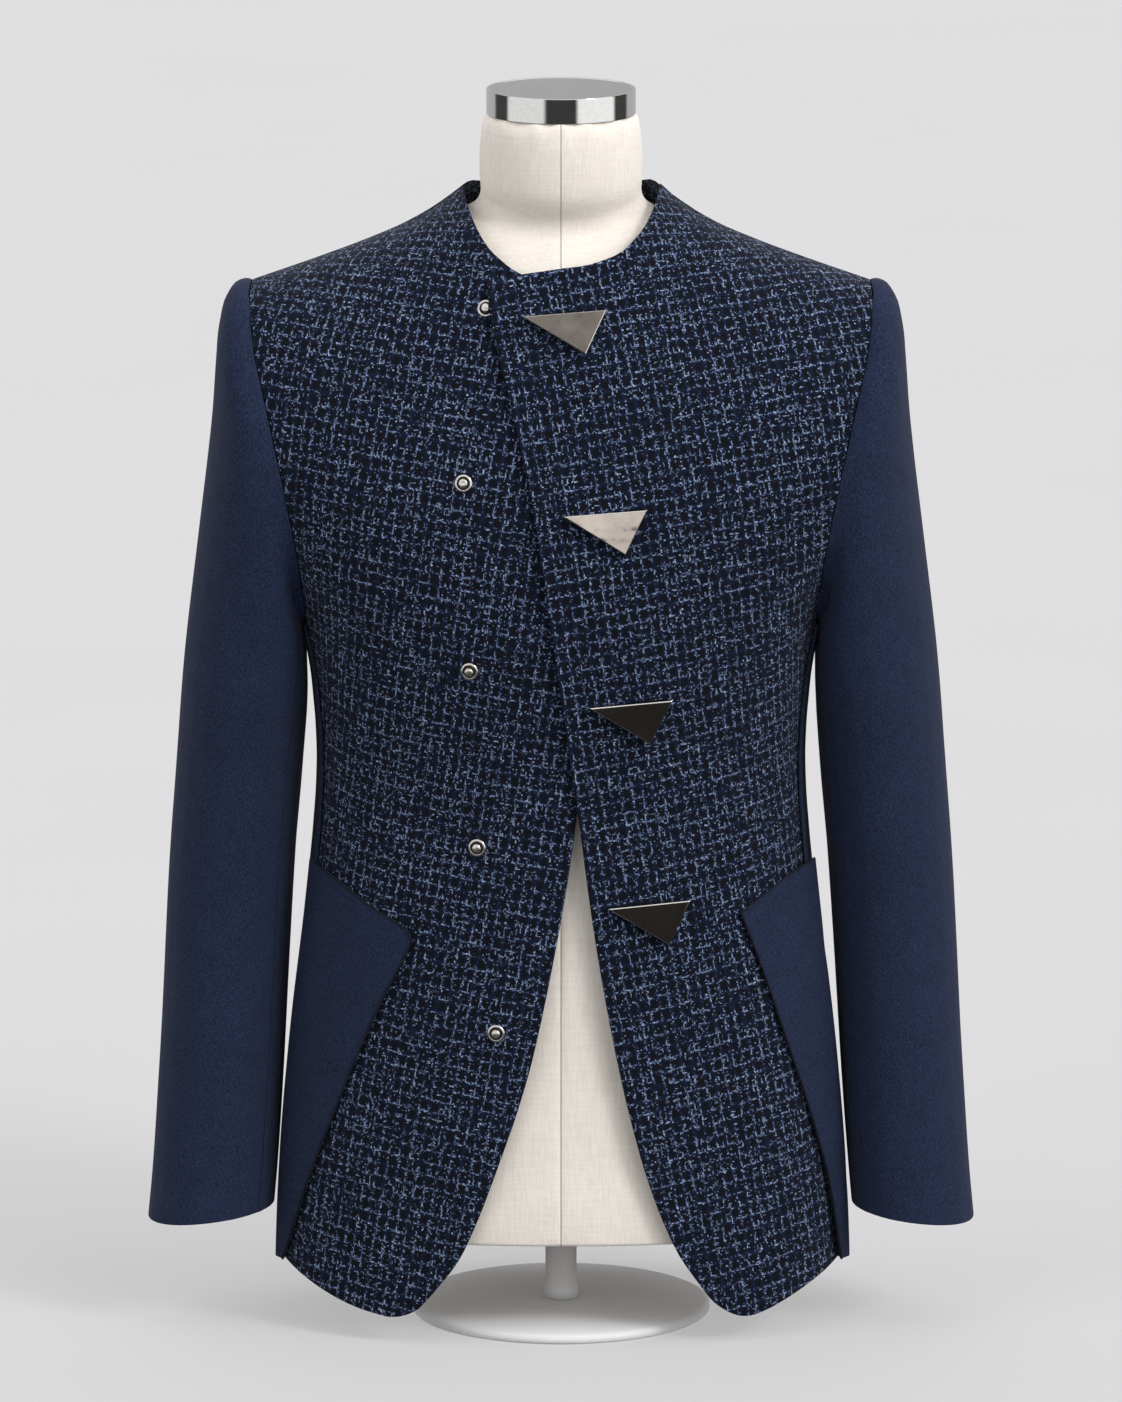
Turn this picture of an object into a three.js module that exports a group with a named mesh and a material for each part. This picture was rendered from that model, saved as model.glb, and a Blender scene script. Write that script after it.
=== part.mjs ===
// A collarless jacket with asymmetric overlapping fronts, worn by a limbless dress form.
// Millimetres, +Z up. The fronts face -Y, and +X is the wearer's left.
// Every cloth piece is a thin wall whose outer face lies on one shared figure surface.
import * as THREE from 'three';

// Thickness of the cloth, the gap between two pieces at a seam, and the gap under a piece
// that lies on another one
const WALL = 2;
const SEAM = 0.3;
const LAY = 0.8;

// The figure: the height of the underarm, the depth of the shoulder ridge, how far the level
// counts on from the underarm up to the ridge, and how squared its sections are
const UNDERARM = 500;
const RIDGE_DEPTH = 8;
const RISE = 170;
const ROUNDNESS = 2.3;

// Half widths and depths of the jacket, one row for each level
const BODY_SECTIONS = [
  { level: 15, halfWidth: 202, front: 118, back: 134 },
  { level: 60, halfWidth: 201, front: 118, back: 133 },
  { level: 120, halfWidth: 198, front: 117, back: 129 },
  { level: 200, halfWidth: 191, front: 115, back: 120 },
  { level: 300, halfWidth: 179, front: 113, back: 106 },
  { level: 360, halfWidth: 173, front: 112, back: 98 },
  { level: 400, halfWidth: 171, front: 113, back: 96 },
  { level: 450, halfWidth: 174, front: 117, back: 100 },
  { level: 500, halfWidth: 183, front: 121, back: 109 },
  { level: 536, halfWidth: 211, front: 122, back: 118 },
  { level: 583, halfWidth: 245, front: 118, back: 126 },
  { level: 645, halfWidth: 262, front: 114, back: 126 },
  { level: 767, halfWidth: 266, front: 112, back: 122 },
];

// The shoulder ridge from the middle of the neck out to the sleeve head: the height of the
// sloping shoulder, and what the low stand of the neck adds to it
const SHOULDER_LINE = [
  { x: 0, slope: 806, stand: 34 },
  { x: 40, slope: 797, stand: 32 },
  { x: 58, slope: 792, stand: 23 },
  { x: 68, slope: 789, stand: 13.3 },
  { x: 80, slope: 784.5, stand: 5.5 },
  { x: 106, slope: 774.8, stand: 1.7 },
  { x: 137, slope: 762.5, stand: 0 },
  { x: 175, slope: 748.5, stand: 0 },
  { x: 215, slope: 735, stand: 0 },
  { x: 280, slope: 712, stand: 0 },
];
const STAND_START = 0.75;
const NECK_SIDE_X = 68;
const SHOULDER_END_X = 215;
const SIDE_SEAM_TURN = THREE.MathUtils.degToRad(75);
const BACK_SEAM_TURN = THREE.MathUtils.degToRad(105);
const SIDE_HEM = 47;
const BACK_HEM = 46;

// Smooth, monotone curve through two columns of a table
function tableCurve(rows, key, value) {
  const at = rows.map((row) => row[key]);
  const to = rows.map((row) => row[value]);
  const count = rows.length;
  const slope = [];
  for (let i = 0; i < count - 1; i += 1) slope.push((to[i + 1] - to[i]) / (at[i + 1] - at[i]));
  const tangent = at.map((_, i) => {
    if (i === 0) return slope[0];
    if (i === count - 1) return slope[count - 2];
    if (slope[i - 1] * slope[i] <= 0) return 0;
    return (2 * slope[i - 1] * slope[i]) / (slope[i - 1] + slope[i]);
  });
  return (input) => {
    const here = THREE.MathUtils.clamp(input, at[0], at[count - 1]);
    let i = 0;
    while (i < count - 2 && here > at[i + 1]) i += 1;
    const span = at[i + 1] - at[i];
    const s = (here - at[i]) / span;
    const lower = (1 + 2 * s) * (1 - s) ** 2 * to[i] + s * (1 - s) ** 2 * span * tangent[i];
    const upper = s * s * (3 - 2 * s) * to[i + 1] + s * s * (s - 1) * span * tangent[i + 1];
    return lower + upper;
  };
}

const halfWidthAt = tableCurve(BODY_SECTIONS, 'level', 'halfWidth');
const frontDepthAt = tableCurve(BODY_SECTIONS, 'level', 'front');
const backDepthAt = tableCurve(BODY_SECTIONS, 'level', 'back');
const slopeAt = tableCurve(SHOULDER_LINE, 'x', 'slope');
const standAt = tableCurve(SHOULDER_LINE, 'x', 'stand');

// Sine and cosine of a squared-off circle, as clothed bodies have
const roundSine = (angle) => Math.sign(Math.sin(angle)) * Math.abs(Math.sin(angle)) ** (2 / ROUNDNESS);
const roundCosine = (angle) => Math.sign(Math.cos(angle)) * Math.abs(Math.cos(angle)) ** (2 / ROUNDNESS);

// Height above the underarm, where closing runs from 0 there to a right angle at the ridge
function closingHeight(x, closing) {
  const stand = standAt(Math.abs(x)) * THREE.MathUtils.smoothstep(closing, STAND_START, Math.PI / 2);
  return UNDERARM + (slopeAt(Math.abs(x)) - UNDERARM) * roundSine(closing) + stand;
}
const shoulderHeight = (x) => closingHeight(x, Math.PI / 2);
const NECK_SIDE = { x: NECK_SIDE_X, z: shoulderHeight(NECK_SIDE_X) };
const SHOULDER_END = { x: SHOULDER_END_X, z: shoulderHeight(SHOULDER_END_X) };

// The closing at which the figure has this height
function closingAt(x, z) {
  let low = 0;
  let high = Math.PI / 2;
  for (let i = 0; i < 36; i += 1) {
    const middle = (low + high) / 2;
    if (closingHeight(x, middle) < z) low = middle;
    else high = middle;
  }
  return (low + high) / 2;
}

// A place on the figure: turn goes round from the centre front, level goes up.
// Above the underarm the walls close towards the shoulder ridge.
function figurePlace(turn, level) {
  const x = halfWidthAt(level) * roundSine(turn);
  const along = roundCosine(turn);
  const depth = along > 0 ? frontDepthAt(level) : backDepthAt(level);
  if (level <= UNDERARM) return new THREE.Vector3(x, -depth * along, level);
  const closing = (level - UNDERARM) / RISE;
  const y = RIDGE_DEPTH + (-depth * along - RIDGE_DEPTH) * roundCosine(closing);
  return new THREE.Vector3(x, y, closingHeight(x, closing));
}

// Outward normal of the figure
function figureNormal(turn, level) {
  const turnStep = 0.004;
  const levelStep = 0.5;
  const round = figurePlace(turn + turnStep, level).sub(figurePlace(turn - turnStep, level));
  const up = figurePlace(turn, level + levelStep).sub(figurePlace(turn, level - levelStep));
  return round.cross(up).normalize();
}

function figurePoint(turn, level, out) {
  return figurePlace(turn, level).addScaledVector(figureNormal(turn, level), out);
}

// Turn and level of the place that is seen at x and z, on the front or on the back
function seenAt(x, z, onBack = false) {
  const level = z > UNDERARM ? UNDERARM + RISE * closingAt(x, z) : z;
  const across = Math.min(Math.abs(x) / halfWidthAt(level), 1);
  const angle = Math.asin(across ** (ROUNDNESS / 2));
  const turn = (onBack ? Math.PI - angle : angle) * (x < 0 ? -1 : 1);
  return new THREE.Vector2(turn, level);
}

// A drawn line through rows of x and z, read by the share of its length
function drawnLine(rows) {
  const points = rows.map((row) => new THREE.Vector3(row.x, row.z, 0));
  const curve = new THREE.CatmullRomCurve3(points, false, 'centripetal');
  curve.arcLengthDivisions = 400;
  return (share) => {
    const place = curve.getPointAt(THREE.MathUtils.clamp(share, 0, 1));
    return { x: place.x, z: place.y };
  };
}

// Joins several boundary stretches, each over its own share of 0 to 1
function stretches(parts) {
  return (share) => {
    let from = 0;
    for (const part of parts) {
      if (share <= part.to || part === parts[parts.length - 1]) {
        return part.line(THREE.MathUtils.clamp((share - from) / (part.to - from), 0, 1));
      }
      from = part.to;
    }
    return null;
  };
}

// Fills the patch between four boundaries of turn and level. The bends of the lower and the
// upper boundary fade quickly away from them.
const FADE_POWER = 3;
function fillPatch({ bottom, top, left, right }) {
  const bend = (line, across) => line(across).sub(line(0).lerp(line(1), across));
  return (across, up) => {
    const place = left(up).lerp(right(up), across);
    place.addScaledVector(bend(bottom, across), (1 - up) ** FADE_POWER);
    return place.addScaledVector(bend(top, across), up ** FADE_POWER);
  };
}

// Grid of shares from 0 to 1 with a given number of steps in each stretch
function shares(parts) {
  const list = [0];
  let from = 0;
  for (const part of parts) {
    for (let i = 1; i <= part.steps; i += 1) list.push(from + ((part.to - from) * i) / part.steps);
    from = part.to;
  }
  return list;
}

// Closes two equal grids of points, an outer and an inner face, into one solid wall
function wallBetween(outer, inner) {
  const rows = outer.length;
  const columns = outer[0].length;
  const places = [...outer.flat(), ...inner.flat()];
  const place = (face, row, column) => face * rows * columns + row * columns + column;
  const faces = [];
  const quad = (a, b, c, d) => faces.push(a, b, c, a, c, d);
  for (let r = 0; r < rows - 1; r += 1) {
    for (let c = 0; c < columns - 1; c += 1) {
      quad(place(0, r, c), place(0, r, c + 1), place(0, r + 1, c + 1), place(0, r + 1, c));
      quad(place(1, r, c), place(1, r + 1, c), place(1, r + 1, c + 1), place(1, r, c + 1));
    }
  }
  for (let c = 0; c < columns - 1; c += 1) {
    quad(place(0, 0, c), place(1, 0, c), place(1, 0, c + 1), place(0, 0, c + 1));
    const top = rows - 1;
    quad(place(0, top, c), place(0, top, c + 1), place(1, top, c + 1), place(1, top, c));
  }
  for (let r = 0; r < rows - 1; r += 1) {
    quad(place(0, r, 0), place(0, r + 1, 0), place(1, r + 1, 0), place(1, r, 0));
    const end = columns - 1;
    quad(place(0, r, end), place(1, r, end), place(1, r + 1, end), place(0, r + 1, end));
  }
  return solidFrom(places, faces);
}

// Mesh geometry from points and corner numbers, with the faces turned outward
function solidFrom(places, faces) {
  let volume = 0;
  for (let i = 0; i < faces.length; i += 3) {
    const [a, b, c] = [places[faces[i]], places[faces[i + 1]], places[faces[i + 2]]];
    volume += a.dot(b.clone().cross(c));
  }
  if (volume < 0) faces.reverse();
  const geometry = new THREE.BufferGeometry();
  geometry.setAttribute('position', new THREE.Float32BufferAttribute(places.flatMap((p) => p.toArray()), 3));
  geometry.setIndex(faces);
  geometry.computeVertexNormals();
  return geometry;
}

// Materials of the real pieces
const tweed = new THREE.MeshStandardMaterial({ color: 0x222c40, roughness: 0.95 });
const flannel = new THREE.MeshStandardMaterial({ color: 0x1e2840, roughness: 0.9 });
const linen = new THREE.MeshStandardMaterial({ color: 0xd9d2c3, roughness: 0.85 });
const nickel = new THREE.MeshStandardMaterial({ color: 0xb9b2a6, roughness: 0.3, metalness: 1 });
const gunmetal = new THREE.MeshStandardMaterial({ color: 0x77706a, roughness: 0.25, metalness: 1 });
const chrome = new THREE.MeshStandardMaterial({ color: 0xc8ccd0, roughness: 0.12, metalness: 1 });
const enamel = new THREE.MeshStandardMaterial({ color: 0xe4e4e5, roughness: 0.5 });

const jacket = new THREE.Group();
function addPiece(name, geometry, material) {
  const mesh = new THREE.Mesh(geometry, material);
  mesh.name = name;
  jacket.add(mesh);
  return mesh;
}

// A cloth panel on the figure, from a patch of turn and level. lift raises it where it lies
// over another panel.
function clothPanel(patch, acrossShares, upShares, lift) {
  const face = (depth) => upShares.map((up) => acrossShares.map((across) => {
    const at = patch(across, up);
    return figurePoint(at.x, at.y, lift(at.x, at.y) - depth);
  }));
  return wallBetween(face(0), face(WALL));
}
const noLift = () => 0;

// Armholes: the line where a sleeve is sewn on, from the shoulder down to the side panel
const FRONT_ARMHOLE = [
  { x: 215, z: 735 },
  { x: 216, z: 723 },
  { x: 213, z: 697 },
  { x: 206, z: 666 },
  { x: 199, z: 636 },
  { x: 192, z: 603 },
  { x: 186, z: 572 },
  { x: 181, z: 545 },
];
const BACK_ARMHOLE = [
  { x: 215, z: 735 },
  { x: 214, z: 718 },
  { x: 210, z: 692 },
  { x: 205, z: 662 },
  { x: 201, z: 632 },
  { x: 197, z: 600 },
  { x: 192, z: 568 },
  { x: 186, z: 538 },
];
const HALF_SEAM_TURN = SEAM / 2 / 118;

// The armhole in turn and level. Its last stretch swings out to the side seam.
function armholeLine(rows, seamTurn, onBack) {
  const turned = rows.map((row) => seenAt(row.x, row.z, onBack));
  const last = turned[turned.length - 1];
  const swing = new THREE.Vector2((last.x + 2 * seamTurn) / 3, UNDERARM + 10);
  const points = [...turned, swing, new THREE.Vector2(seamTurn, UNDERARM)];
  const scaled = points.map((point) => new THREE.Vector3(point.x * RISE, point.y, 0));
  const curve = new THREE.CatmullRomCurve3(scaled, false, 'centripetal');
  curve.arcLengthDivisions = 400;
  return (share) => {
    const place = curve.getPointAt(THREE.MathUtils.clamp(share, 0, 1));
    return new THREE.Vector2(place.x / RISE, place.y);
  };
}
const frontArmhole = armholeLine(FRONT_ARMHOLE, SIDE_SEAM_TURN, false);
const backArmhole = armholeLine(BACK_ARMHOLE, BACK_SEAM_TURN, true);
const SEAM_LEVEL = 0.2;

// The front edges and hems, drawn as seen from the front. x is towards the wearer's left.
const LEFT_EDGE = [
  { z: 32, x: 105 }, { z: 41, x: 96 }, { z: 67, x: 81 }, { z: 111, x: 63 }, { z: 164, x: 48 },
  { z: 219, x: 36 }, { z: 301, x: 22 }, { z: 402, x: 9 }, { z: 493, x: -4 }, { z: 602, x: -20 },
  { z: 665, x: -34 }, { z: 726, x: -48.5 }, { z: 746, x: -50 },
];
const RIGHT_EDGE = [
  { z: 27, x: -98 }, { z: 41, x: -83 }, { z: 74, x: -65 }, { z: 132, x: -43 }, { z: 193, x: -23 },
  { z: 277, x: -5 }, { z: 362, x: 9 }, { z: 450, x: 17 }, { z: 600, x: 21 }, { z: 736, x: 22 },
];
const LEFT_HEM = [
  { x: 105, z: 32 }, { x: 117, z: 22.5 }, { x: 130, z: 18 }, { x: 145, z: 21.5 },
  { x: 160, z: 28 }, { x: 178, z: 37 }, { x: 195.9, z: SIDE_HEM },
];
const RIGHT_HEM = [
  { x: -98, z: 27 }, { x: -106, z: 22 }, { x: -118, z: 18.5 }, { x: -132, z: 20.5 },
  { x: -150, z: 25 }, { x: -174, z: 35 }, { x: -195.9, z: SIDE_HEM },
];
const LEFT_NECK = [
  { x: -50, z: 746 }, { x: -28, z: 750.5 }, { x: 0, z: 755.5 }, { x: 21, z: 757.5 }, { x: 38, z: 762.5 },
  { x: 50, z: 770.5 }, { x: 59, z: 782 }, { x: 65, z: 794 }, { ...NECK_SIDE },
];
const RIGHT_NECK = [
  { x: 22, z: 736 }, { x: 0, z: 741 }, { x: -24, z: 750.5 }, { x: -40, z: 758.5 },
  { x: -52, z: 770 }, { x: -60, z: 782.5 }, { x: -65, z: 794 }, { x: -NECK_SIDE.x, z: NECK_SIDE.z },
];
const UNDERARM_SHARE = 0.62;
const NECK_SHARE = 0.48;

// The closing snap at the top of the right front, which the left front partly covers
const TOP_SNAP = { x: -51.5, z: 729 };

// The left front lies over the right one near its edge, and higher over the top snap
function overlapLift(turn, level) {
  const place = figurePlace(turn, level);
  const inner = 40;
  const outer = 100;
  const full = WALL + LAY;
  const overSnap = 4.4 * Math.exp(-(((place.x - TOP_SNAP.x) / 20) ** 2 + ((place.z - TOP_SNAP.z) / 24) ** 2));
  return full * (1 - THREE.MathUtils.smoothstep(place.x, inner, outer)) + overSnap;
}

// One front, from its edge round to the side seam and up to the shoulder and neck.
// side is 1 for the wearer's left and -1 for the right.
function frontPatch(side, edgeRows, hemRows, neckRows) {
  const edge = tableCurve(edgeRows, 'z', 'x');
  const lowest = edgeRows[0].z;
  const highest = edgeRows[edgeRows.length - 1].z;
  const hem = drawnLine(hemRows);
  const neck = drawnLine(neckRows);
  const seamTurn = SIDE_SEAM_TURN - HALF_SEAM_TURN;
  const edgeAt = (z) => seenAt(edge(z), z);
  const left = stretches([
    { to: UNDERARM_SHARE, line: (s) => edgeAt(THREE.MathUtils.lerp(lowest, UNDERARM, s)) },
    { to: 1, line: (s) => edgeAt(THREE.MathUtils.lerp(UNDERARM, highest, s)) },
  ]);
  const right = stretches([
    {
      to: UNDERARM_SHARE,
      line: (s) => new THREE.Vector2(side * seamTurn, THREE.MathUtils.lerp(SIDE_HEM, UNDERARM, s)),
    },
    {
      to: 1,
      line: (s) => {
        const at = frontArmhole(1 - s);
        return new THREE.Vector2(side * Math.min(at.x, seamTurn), Math.min(at.y, TOP_LEVEL));
      },
    },
  ]);
  const top = stretches([
    { to: NECK_SHARE, line: (s) => topCapped(neck(s)) },
    { to: 1, line: (s) => topCapped(shoulderPoint(s, side)) },
  ]);
  const hemStart = seenAt(hem(0).x, hem(0).z);
  const bottom = (s) => {
    if (s <= 0) return hemStart.clone();
    if (s >= 1) return new THREE.Vector2(side * seamTurn, SIDE_HEM);
    const at = hem(s);
    return seenAt(at.x, at.z);
  };
  return fillPatch({ bottom, top, left, right });
}

// Seams at the ridge stop half a gap short of it
const TOP_LEVEL = UNDERARM + RISE * (Math.PI / 2) - SEAM_LEVEL;
function topCapped(at, onBack = false) {
  const place = seenAt(at.x, at.z, onBack);
  return new THREE.Vector2(place.x, Math.min(place.y, TOP_LEVEL));
}
function shoulderPoint(share, side) {
  const x = THREE.MathUtils.lerp(NECK_SIDE.x, SHOULDER_END.x, share);
  return { x: side * x, z: shoulderHeight(x) };
}

const frontColumns = shares([{ to: NECK_SHARE, steps: 6 }, { to: 1, steps: 6 }]);
const frontRows = shares([{ to: UNDERARM_SHARE, steps: 14 }, { to: 1, steps: 12 }]);
const rightFront = frontPatch(-1, RIGHT_EDGE, RIGHT_HEM, RIGHT_NECK);
const leftFront = frontPatch(1, LEFT_EDGE, LEFT_HEM, LEFT_NECK);
addPiece('right_front', clothPanel(rightFront, frontColumns, frontRows, noLift), tweed);
addPiece('left_front', clothPanel(leftFront, frontColumns, frontRows, overlapLift), tweed);

// The back: one piece, from side seam to side seam
const BACK_NECK = [
  { ...NECK_SIDE }, { x: 62, z: 799 }, { x: 45, z: 796 }, { x: 0, z: 794 },
];
function backPatch() {
  const halfNeck = drawnLine(BACK_NECK);
  const mirrored = (at) => new THREE.Vector2(2 * Math.PI - at.x, at.y);
  const seamTurn = BACK_SEAM_TURN + HALF_SEAM_TURN;
  const side = stretches([
    {
      to: UNDERARM_SHARE,
      line: (s) => new THREE.Vector2(seamTurn, THREE.MathUtils.lerp(BACK_HEM, UNDERARM, s)),
    },
    {
      to: 1,
      line: (s) => {
        const at = backArmhole(1 - s);
        return new THREE.Vector2(Math.max(at.x, seamTurn), Math.min(at.y, TOP_LEVEL));
      },
    },
  ]);
  const halfTop = stretches([
    { to: 0.3, line: (s) => topCapped(shoulderPoint(1 - s, 1), true) },
    { to: 0.5, line: (s) => topCapped(halfNeck(s), true) },
  ]);
  return fillPatch({
    bottom: (s) => new THREE.Vector2(THREE.MathUtils.lerp(seamTurn, 2 * Math.PI - seamTurn, s), BACK_HEM),
    top: (s) => (s <= 0.5 ? halfTop(s) : mirrored(halfTop(1 - s))),
    left: side,
    right: (s) => mirrored(side(s)),
  });
}
const backColumns = shares([{ to: 0.3, steps: 5 }, { to: 0.7, steps: 8 }, { to: 1, steps: 5 }]);
const backRows = shares([{ to: UNDERARM_SHARE, steps: 12 }, { to: 1, steps: 10 }]);
addPiece('back', clothPanel(backPatch(), backColumns, backRows, noLift), tweed);

// Side panels, between the front and the back under the arm
function sidePatch(side) {
  const front = side * (SIDE_SEAM_TURN + HALF_SEAM_TURN);
  const back = side * (BACK_SEAM_TURN - HALF_SEAM_TURN);
  return (across, up) => {
    const hem = THREE.MathUtils.lerp(SIDE_HEM, BACK_HEM, across);
    const level = THREE.MathUtils.lerp(hem, UNDERARM, up);
    return new THREE.Vector2(THREE.MathUtils.lerp(front, back, across), level);
  };
}
const sideColumns = shares([{ to: 1, steps: 4 }]);
const sideRows = shares([{ to: 1, steps: 16 }]);
addPiece('right_side', clothPanel(sidePatch(-1), sideColumns, sideRows, noLift), flannel);
addPiece('left_side', clothPanel(sidePatch(1), sideColumns, sideRows, noLift), flannel);

// Pocket panels, laid on the fronts from the slanted mouth down to the hem
const RIGHT_POCKET = {
  mouth: [
    { x: -172, z: 322 }, { x: -150, z: 316 }, { x: -130, z: 305 }, { x: -113, z: 296 },
    { x: -107, z: 291.5 }, { x: -106.5, z: 286 },
  ],
  inner: [
    { x: -106.5, z: 286 }, { x: -113, z: 270 }, { x: -129, z: 232 }, { x: -156, z: 163 },
    { x: -176, z: 106 }, { x: -191, z: 47 },
  ],
};
const LEFT_POCKET = {
  mouth: [{ x: 172, z: 324 }, { x: 158, z: 320 }, { x: 145, z: 314 }, { x: 126, z: 303 }],
  inner: [
    { x: 126, z: 303 }, { x: 134, z: 280 }, { x: 154, z: 217 }, { x: 171, z: 162 },
    { x: 184, z: 105 }, { x: 191, z: 47 },
  ],
};
function pocketPatch(side, pocket) {
  const mouth = drawnLine(pocket.mouth);
  const inner = drawnLine(pocket.inner);
  const seamTurn = side * (SIDE_SEAM_TURN - HALF_SEAM_TURN);
  const seen = (at) => seenAt(at.x, at.z);
  const topLevel = mouth(0).z;
  const lowEnd = seen(inner(1));
  return fillPatch({
    bottom: (s) => new THREE.Vector2(THREE.MathUtils.lerp(seamTurn, lowEnd.x, s), lowEnd.y),
    top: (s) => {
      const at = seen(mouth(s));
      return s <= 0 ? new THREE.Vector2(seamTurn, topLevel) : at;
    },
    left: (up) => new THREE.Vector2(seamTurn, THREE.MathUtils.lerp(lowEnd.y, topLevel, up)),
    right: (up) => seen(inner(1 - up)),
  });
}
const pocketShares = shares([{ to: 1, steps: 8 }]);
const pocketRows = shares([{ to: 1, steps: 12 }]);
const laidOn = () => WALL + LAY;
for (const [name, side, pocket] of [['right_pocket', -1, RIGHT_POCKET], ['left_pocket', 1, LEFT_POCKET]]) {
  addPiece(name, clothPanel(pocketPatch(side, pocket), pocketShares, pocketRows, laidOn), flannel);
}

// Sleeves: the outer and inner outlines seen from the front, for the left sleeve
const SLEEVE_OUTER = [
  { z: 73, x: 290.5 }, { z: 109, x: 287 }, { z: 181, x: 282.4 }, { z: 253, x: 278.4 },
  { z: 325, x: 274.5 }, { z: 397, x: 269 }, { z: 468, x: 263.5 }, { z: 511, x: 258.6 },
  { z: 568, x: 251.5 }, { z: 639, x: 243 }, { z: 667, x: 240.5 }, { z: 695, x: 238.5 },
  { z: 709, x: 236.5 }, { z: 723, x: 232.5 }, { z: 731, x: 228 }, { z: 735.8, x: 221.5 },
];
const SLEEVE_INNER = [
  { z: 84, x: 204.5 }, { z: 109, x: 202.2 }, { z: 181, x: 196.8 }, { z: 253, x: 192.4 },
  { z: 325, x: 187.5 }, { z: 397, x: 182 }, { z: 440, x: 180.2 }, { z: 470, x: 182.8 }, { z: 492, x: 187 },
];
// Depth of the sleeve and the y of its middle, from the armhole (0) to the cuff (1)
const SLEEVE_DEPTHS = [
  { along: 0, half: 78, middle: 4 },
  { along: 0.12, half: 79, middle: 4 },
  { along: 0.35, half: 72, middle: 5 },
  { along: 0.6, half: 62, middle: 2 },
  { along: 0.8, half: 56, middle: -8 },
  { along: 1, half: 51, middle: -20 },
];
const SLEEVE_ROUND = 2.15;
const SLEEVE_SEAM = 0.6;
const SLEEVE_RINGS = 22;
// Heights of the first rings on the outer and inner outline, where the sleeve head bends quickly
const HEAD_RINGS = [
  { top: 735.8, under: 496 },
  { top: 729, under: 486 },
  { top: 714, under: 474 },
  { top: 690, under: 460 },
];

const outerAt = tableCurve(SLEEVE_OUTER, 'z', 'x');
const innerAt = tableCurve(SLEEVE_INNER, 'z', 'x');
const sleeveHalfAt = tableCurve(SLEEVE_DEPTHS, 'along', 'half');
const sleeveMiddleAt = tableCurve(SLEEVE_DEPTHS, 'along', 'middle');

// The armhole as a closed line of points, read by the direction from its middle
const ARMHOLE_MIDDLE = { y: 4, z: 618 };
function armholeReader() {
  const steps = 80;
  const points = [];
  for (let i = 0; i <= steps; i += 1) points.push(frontArmhole(i / steps));
  for (let i = 1; i < 8; i += 1) {
    points.push(new THREE.Vector2(THREE.MathUtils.lerp(SIDE_SEAM_TURN, BACK_SEAM_TURN, i / 8), UNDERARM));
  }
  for (let i = steps; i > 0; i -= 1) points.push(backArmhole(i / steps));
  const places = points.map((at) => figurePlace(at.x, at.y));
  const rows = places.map((place) => {
    const aim = Math.atan2(-(place.y - ARMHOLE_MIDDLE.y), place.z - ARMHOLE_MIDDLE.z);
    return { aim: aim < -0.02 ? aim + 2 * Math.PI : aim, place };
  });
  rows.sort((a, b) => a.aim - b.aim);
  return (aim) => {
    const wanted = ((aim % (2 * Math.PI)) + 2 * Math.PI) % (2 * Math.PI);
    let i = rows.findIndex((row) => row.aim >= wanted);
    if (i < 0) i = 0;
    const after = rows[i];
    const before = rows[(i + rows.length - 1) % rows.length];
    let span = after.aim - before.aim;
    if (span <= 0) span += 2 * Math.PI;
    let step = wanted - before.aim;
    if (step < 0) step += 2 * Math.PI;
    return before.place.clone().lerp(after.place, span > 1e-9 ? Math.min(step / span, 1) : 0);
  };
}
const armholeTowards = armholeReader();

// One flat ring of the sleeve between an outer and an inner outline point. angle is 0 at the
// outside, and goes forward round the arm.
function flatRing(top, under, half, middle) {
  return (angle) => {
    const lengthwise = Math.sign(Math.cos(angle)) * Math.abs(Math.cos(angle)) ** (2 / SLEEVE_ROUND);
    const sideways = Math.sign(Math.sin(angle)) * Math.abs(Math.sin(angle)) ** (2 / SLEEVE_ROUND);
    const share = (1 + lengthwise) / 2;
    const x = THREE.MathUtils.lerp(under.x, top.x, share);
    const z = THREE.MathUtils.lerp(under.z, top.z, share);
    return new THREE.Vector3(x, middle - half * sideways, z);
  };
}

function sleeveRings() {
  const first = flatRing(SHOULDER_END, { x: 183.2, z: UNDERARM }, sleeveHalfAt(0), sleeveMiddleAt(0));
  const seamLine = (angle) => {
    const place = first(angle);
    const aim = Math.atan2(-(place.y - ARMHOLE_MIDDLE.y), place.z - ARMHOLE_MIDDLE.z);
    return armholeTowards(aim);
  };
  const outward = new THREE.Vector3(SLEEVE_SEAM, 0, 0);
  const rings = [(angle) => {
    const above = Math.max(0, -Math.cos(angle)) * SLEEVE_SEAM;
    return seamLine(angle).add(outward).add(new THREE.Vector3(0, 0, above));
  }];
  const headCount = HEAD_RINGS.length;
  const lastHead = HEAD_RINGS[headCount - 1];
  for (let ring = 1; ring <= SLEEVE_RINGS; ring += 1) {
    const along = ring / SLEEVE_RINGS;
    const down = Math.max(0, (ring - headCount) / (SLEEVE_RINGS - headCount));
    const heights = HEAD_RINGS[ring - 1] ?? {
      top: THREE.MathUtils.lerp(lastHead.top, SLEEVE_OUTER[0].z, down),
      under: THREE.MathUtils.lerp(lastHead.under, SLEEVE_INNER[0].z, down),
    };
    const top = { x: outerAt(heights.top), z: heights.top };
    const under = { x: innerAt(heights.under), z: heights.under };
    const flat = flatRing(top, under, sleeveHalfAt(along), sleeveMiddleAt(along));
    const fade = Math.max(0, 1 - ring / (headCount + 2)) ** 1.5;
    rings.push((angle) => {
      const pull = seamLine(angle).sub(first(angle)).multiplyScalar(fade);
      return flat(angle).add(pull);
    });
  }
  return rings;
}

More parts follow.
